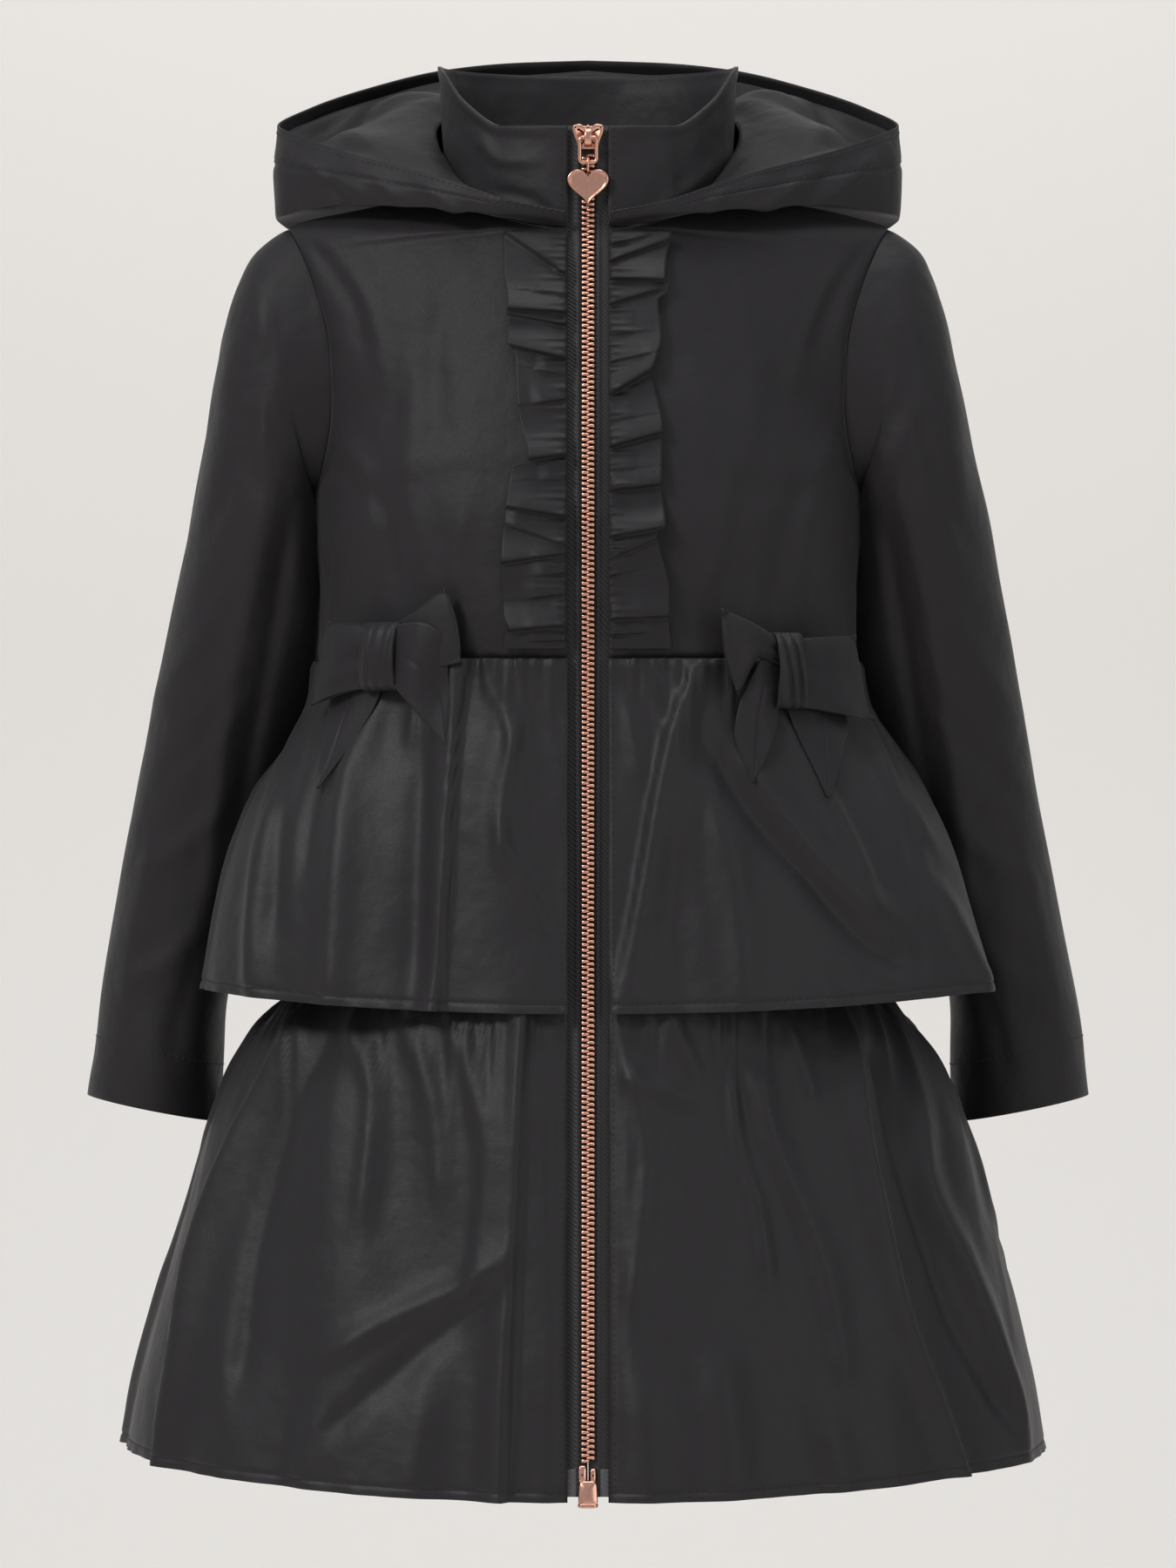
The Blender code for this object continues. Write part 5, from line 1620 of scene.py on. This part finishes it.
def capped(rings):
    """Closes a stack of rings with a fan of quads to a middle ring at each end."""
    first = rings[0]
    last = rings[-1]
    ends = []
    for ring_points in (first, last):
        middle = ring_points.mean(axis=0)
        ends.append(middle + (ring_points - middle) * 0.02)
    stack = np.concatenate([ends[:1], rings, ends[1:]])
    rows, cols = stack.shape[:2]
    faces = lathe_faces(rows, cols)
    return stack.reshape(-1, 3), faces


def heart_outline(scale=1.0, count=120):
    """Gives a heart's outline, from the notch round to the notch."""
    turn = np.linspace(0, 2 * math.pi, count, endpoint=False)
    x = 16 * np.sin(turn) ** 3
    z = 13 * np.cos(turn) - 5 * np.cos(2 * turn) - 2 * np.cos(3 * turn) - np.cos(4 * turn)
    x = x / 16 * HEART_HALF
    z = HEART_FOOT + (z - z.min()) / (z.max() - z.min()) * (HEART_TOP - HEART_FOOT)
    notch = RING_LOW - RING_RADIUS - RING_WIRE - GAP
    z = np.where(np.abs(x) < 1.4, np.minimum(z, notch), z)
    middle = (HEART_TOP + HEART_FOOT) / 2 + 1.0
    return np.stack([x * scale, middle + (z - middle) * scale], axis=-1)


def add_heart():
    """Makes the heart with a raised rim round a sunk, plain field."""
    front = PULL_Y - HEART_THICK / 2
    back = PULL_Y + HEART_THICK / 2
    steps = (
        (0.955, back),
        (0.99, back - 0.2),
        (1.0, back - 0.5),
        (1.0, front + 0.5),
        (0.985, front + 0.18),
        (0.95, front),
        (0.90, front),
        (0.865, front + 0.16),
        (0.85, front + 0.45),
        (0.80, front + 0.50),
        (0.5, front + 0.42),
        (0.2, front + 0.38),
    )
    rings = []
    for scale, y in steps:
        flat = heart_outline(scale)
        rings.append(np.stack([flat[:, 0], np.full(len(flat), y), flat[:, 1]], axis=-1))
    points, faces = capped(np.array(rings))
    return add_mesh("pull_heart", points, faces, METAL, "pull_heart", "heart")


def add_slider():
    """Makes the slider: a crown wide at the top that narrows to two rounded wings."""
    outline = [
        (-6.4, 41.0),
        (-3.6, 41.6),
        (-1.4, 40.6),
        (0, 41.2),
        (1.4, 40.6),
        (3.6, 41.6),
        (6.4, 41.0),
        (6.7, 39.2),
        (6.0, 36.6),
        (5.0, 34.0),
        (4.6, 31.8),
        (3.8, 30.8),
        (0, 30.7),
        (-3.8, 30.8),
        (-4.6, 31.8),
        (-5.0, 34.0),
        (-6.0, 36.6),
        (-6.7, 39.2),
    ]
    closed = np.array(outline + outline[:1], dtype=float)
    keys = np.linspace(0, len(outline), 90)[:-1]
    smooth = curve(np.arange(float(len(closed))), closed, keys)
    rings, inward = plate(smooth, -53.0, -50.3, 0.55)
    flat = smooth + inward * 1.5
    lower = smooth + inward * 1.9
    sunk = [
        np.stack([flat[:, 0], np.full(len(flat), -53.0), flat[:, 1]], axis=-1),
        np.stack([lower[:, 0], np.full(len(lower), -52.55), lower[:, 1]], axis=-1),
    ]
    points, faces = capped(np.concatenate([rings, np.array(sunk)]))
    body = add_mesh("zip_slider", points, faces, METAL, "zip_slider")

    arch = [
        (31.4, -53.3),
        (31.6, -56.2),
        (33.0, -57.9),
        (35.5, -58.5),
        (38.0, -57.9),
        (39.4, -56.2),
        (39.6, -53.3),
    ]
    line = curve(np.arange(7.0), np.array(arch), np.linspace(0, 6, 40))
    step = unit(np.gradient(line, axis=0))
    normal = np.stack([-step[:, 1], step[:, 0]], axis=-1)
    section = []
    for k in range(12):
        turn = 2 * math.pi * k / 12
        wide = 1.6 * math.copysign(abs(math.cos(turn)) ** 0.6, math.cos(turn))
        deep = 0.55 + 0.5 * math.copysign(abs(math.sin(turn)) ** 0.6, math.sin(turn))
        section.append((wide, deep))
    rings = []
    for (z, y), (nz, ny) in zip(line, normal):
        rings.append([(wide, y + ny * deep, z + nz * deep) for wide, deep in section])
    points, faces = capped(np.array(rings))
    add_mesh("zip_bridge", points, faces, METAL, "zip_bridge")
    return body


def add_pull():
    corner = 1.4
    half, top, foot = LINK_HALF, LINK_TOP, LINK_FOOT
    path = []
    for x, z, start in (
        (half - corner, top - corner, 90),
        (corner - half, top - corner, 180),
        (corner - half, foot + corner, 270),
        (half - corner, foot + corner, 360),
    ):
        for k in range(9):
            turn = math.radians(start - 90 + 90 * k / 8)
            path.append((x + corner * math.cos(turn), PULL_Y, z + corner * math.sin(turn)))
    add_mesh("pull_link", *wire(path, LINK_WIRE), METAL, "pull_link", "link")
    path = []
    for first, middle in ((0, LINK_FOOT), (180, RING_LOW)):
        for turn in np.radians(np.linspace(first, first + 180, 17)):
            y = PULL_Y + RING_RADIUS * math.cos(turn)
            path.append((0, y, middle + RING_RADIUS * math.sin(turn)))
    add_mesh("pull_ring", *wire(path, RING_WIRE), METAL, "pull_ring", "heart")
    add_heart()


def add_box_end():
    """Makes the pin and the box at the foot of the zip, and the film on the tapes."""
    y, slope = zip_line(-535.0)
    pile = Pile()
    for middle, wide, top in ((-2.35, 3.4, -524.6), (2.1, 2.5, -525.8)):
        tall = top + 532.0
        stem, faces = pill((wide, 2.2, tall), 0.45, 28)
        stem[:, 1] += stem[:, 2] * slope
        z = top - tall / 2
        pile.add(stem + (middle, FRONT_LINE.at("y", z) + 0.5, z), faces)
    block, faces = pill((8.3, 3.4, 11.6), 0.6, 40)
    # The box widens a little towards its foot.
    block[:, 0] *= 1.0 - 0.07 * ease(block[:, 2], -2, 5.8)
    block[:, 1] += block[:, 2] * slope
    pile.add(block + (0, y + 0.15, -536.6), faces)
    ledge, faces = pill((8.5, 3.7, 2.0), 0.4, 40)
    ledge[:, 1] += ledge[:, 2] * slope
    pile.add(ledge + (0, FRONT_LINE.at("y", -541.2) + 0.1, -541.2), faces)
    pile.make("zip_box", METAL, "zip_box")
    # Painted shade: two small dark dots on the stems stand in for the shadow inside small pits, with no
    # hollow cut.
    pit_shades = Pile()
    for x, z in ((-2.35, -528.6), (2.1, -528.8)):
        shade_dot, faces = pill((0.8, 0.3, 0.8), 0.1, 16)
        pit_shades.add(shade_dot + (x, FRONT_LINE.at("y", z) - 0.62, z), faces)
    pit_shades.make("stem_pit_shade", INSIDE)
    for word, side in (("left", LEFT), ("right", RIGHT)):
        z = np.linspace(TAPE_FOOT, -526.5, 24)[:, None]
        x = np.linspace(4.6, 8.9, 10)[None, :]
        lift = 0.25 + 0.05 * np.sin(x * 9) * np.sin(z * 7)
        film_y = FRONT_LINE.at("y", z) + 2.2 - lift
        outer = np.stack(np.broadcast_arrays(side * x, film_y, z), axis=-1)
        out = np.broadcast_to(np.array([0.0, -1.0, 0.0]), outer.shape)
        add_shell(f"tape_film_{word}", None, outer, out, FILM, thick=0.15)


# Sewing.


def add_stitches(name, path, normals, pitch=3.0, length=2.2, radius=0.28):
    """Lays a row of thread stitches along a path of points, sunk a little in the cloth."""
    steps = np.linalg.norm(np.diff(path, axis=0), axis=1)
    arcs = np.concatenate([[0], np.cumsum(steps)])
    count = max(int(arcs[-1] / pitch), 1)
    starts = np.linspace(0, arcs[-1] - length, count)
    pile = Pile()
    turn = np.linspace(0, 2 * math.pi, 4, endpoint=False)
    for start in starts:
        keys = start + length * np.array([0, 0.3, 0.7, 1.0])
        spots = np.stack([np.interp(keys, arcs, path[:, k]) for k in range(3)], axis=-1)
        out = np.stack([np.interp(keys, arcs, normals[:, k]) for k in range(3)], axis=-1)
        out = unit(out)
        ahead = unit(np.gradient(spots, axis=0))
        side = np.cross(ahead, out)
        size = radius * np.array([0.3, 1.0, 1.0, 0.3])[:, None, None]
        spots = spots + out * np.array([-0.3, 0.1, 0.1, -0.3])[:, None]
        ring_points = spots[:, None] + side[:, None] * np.cos(turn)[None, :, None] * size
        ring_points = ring_points + out[:, None] * np.sin(turn)[None, :, None] * size
        pile.add(*capped(ring_points))
    return pile.make(name, THREAD)


def along_row(name, row):
    """Gives the points and outward directions of one row of a sewn piece."""
    outer, out = SURFACES[name]
    return outer[row], out[row]


def along_column(name, column):
    """Gives the points and outward directions of one column of a sewn piece."""
    outer, out = SURFACES[name]
    return outer[:, column], out[:, column]


def add_sewing():
    """Adds the rows of stitches that show: hems, cuffs, the hood's rim and the zip's edge."""
    for tier in ("peplum", "skirt"):
        for word in ("left", "right", "back"):
            piece = f"{tier}_{word}"
            add_stitches(f"hem_{piece}", *along_row(piece, -7))
    for word in ("left", "right"):
        path, normals = along_row(f"sleeve_{word}", CUFF_ROW)
        path = np.concatenate([path, path[:1]])
        normals = np.concatenate([normals, normals[:1]])
        add_stitches(f"cuff_{word}", path, normals)
        for piece in (f"ruffle_{word}", f"peplum_{word}", f"skirt_{word}"):
            add_stitches(f"zip_edge_{piece}", *along_column(piece, 1))
    for row, name in ((-5, "rim_row"), (-14, "casing_row")):
        add_stitches(f"hood_{name}", *along_row("hood_shell", row))
    for column, word in ((2, "left"), (-3, "right")):
        add_stitches(f"collar_edge_{word}", *along_column("collar", column))


# Floor, light and camera.


def add_stage():
    """Makes a pale sweep: a floor that bends up into a wall behind the coat."""
    width, floor, deep, tall, bend = 9.0, -1.25, 6.0, 7.0, 1.2
    line = [(-5.0, floor)]
    for k in range(25):
        turn = math.radians(90 * k / 24)
        line.append((deep - bend + bend * math.sin(turn), floor + bend - bend * math.cos(turn)))
    line.append((deep, tall))
    points = []
    for y, z in line:
        points += [(-width, y, z), (width, y, z)]
    faces = [(2 * k, 2 * k + 1, 2 * k + 3, 2 * k + 2) for k in range(len(line) - 1)]
    mesh = bpy.data.meshes.new("sweep")
    mesh.from_pydata(points, [], faces)
    mesh.polygons.foreach_set("use_smooth", [True] * len(mesh.polygons))
    mesh.materials.append(new_material("pale_paper", (0.95, 0.925, 0.885), 0.9)[0])
    sweep = bpy.data.objects.new("sweep", mesh)
    bpy.context.scene.collection.objects.link(sweep)


def add_light(name, place, toward, size, power, colour=(1.0, 1.0, 1.0)):
    lamp = bpy.data.lights.new(name, "AREA")
    lamp.shape = "RECTANGLE"
    lamp.size, lamp.size_y = size
    lamp.energy = power
    lamp.color = colour
    made = bpy.data.objects.new(name, lamp)
    made.location = place
    way = np.array(toward) - np.array(place)
    level = math.hypot(way[0], way[1])
    made.rotation_euler = (
        math.pi / 2 + math.atan2(way[2], level),
        0,
        math.atan2(-way[0], way[1]),
    )
    bpy.context.scene.collection.objects.link(made)


def add_camera():
    lens = bpy.data.cameras.new("camera")
    lens.sensor_fit = "VERTICAL"
    lens.sensor_height = 36
    lens.lens = 157.9
    camera = bpy.data.objects.new("camera", lens)
    camera.location = (0, -3.0, -0.2413)
    camera.rotation_euler = (math.pi / 2, 0, 0)
    bpy.context.scene.collection.objects.link(camera)
    bpy.context.scene.camera = camera


def light_scene():
    world = bpy.data.worlds.new("studio")
    world.use_nodes = True
    back = world.node_tree.nodes["Background"]
    back.inputs["Color"].default_value = (0.95, 0.96, 1.0, 1.0)
    back.inputs["Strength"].default_value = 0.42
    bpy.context.scene.world = world
    add_light("key", (-1.9, -2.2, 1.7), (0, 0, -0.25), (0.8, 0.8), 48)
    add_light("fill", (1.9, -2.2, 0.3), (0, 0, -0.25), (1.2, 1.6), 8)
    add_light("top", (0.2, -0.3, 2.4), (0, 0, -0.2), (1.8, 1.2), 26)
    add_light("wall", (0, 3.9, 3.4), (0, 6.0, -0.3), (4.0, 1.0), 62)


def finish_scene():
    pieces = {}
    pieces.update(add_bodice())
    pieces.update(add_sleeves())
    pieces["collar"] = add_collar()
    pieces.update(add_hood())
    pieces.update(add_ruffles())
    pieces.update(add_tiers())
    pieces["hip_yoke"] = add_yoke()
    for word, bow in zip(("left", "right"), BOWS):
        pieces.update(add_bow(word, bow))
    pieces.update(add_tapes())
    add_chain()
    add_slider()
    add_pull()
    add_box_end()
    add_sewing()
    add_stage()
    light_scene()
    add_camera()
    bpy.context.scene.view_settings.view_transform = "Standard"
    return pieces


# The fields for how a cloth piece is cut before it is sewn: width and length in metres, how
# it is held, what it hangs from, and its area where it isn't a rectangle.
Cut = namedtuple("Cut", "width length held on area")

pieces = finish_scene()
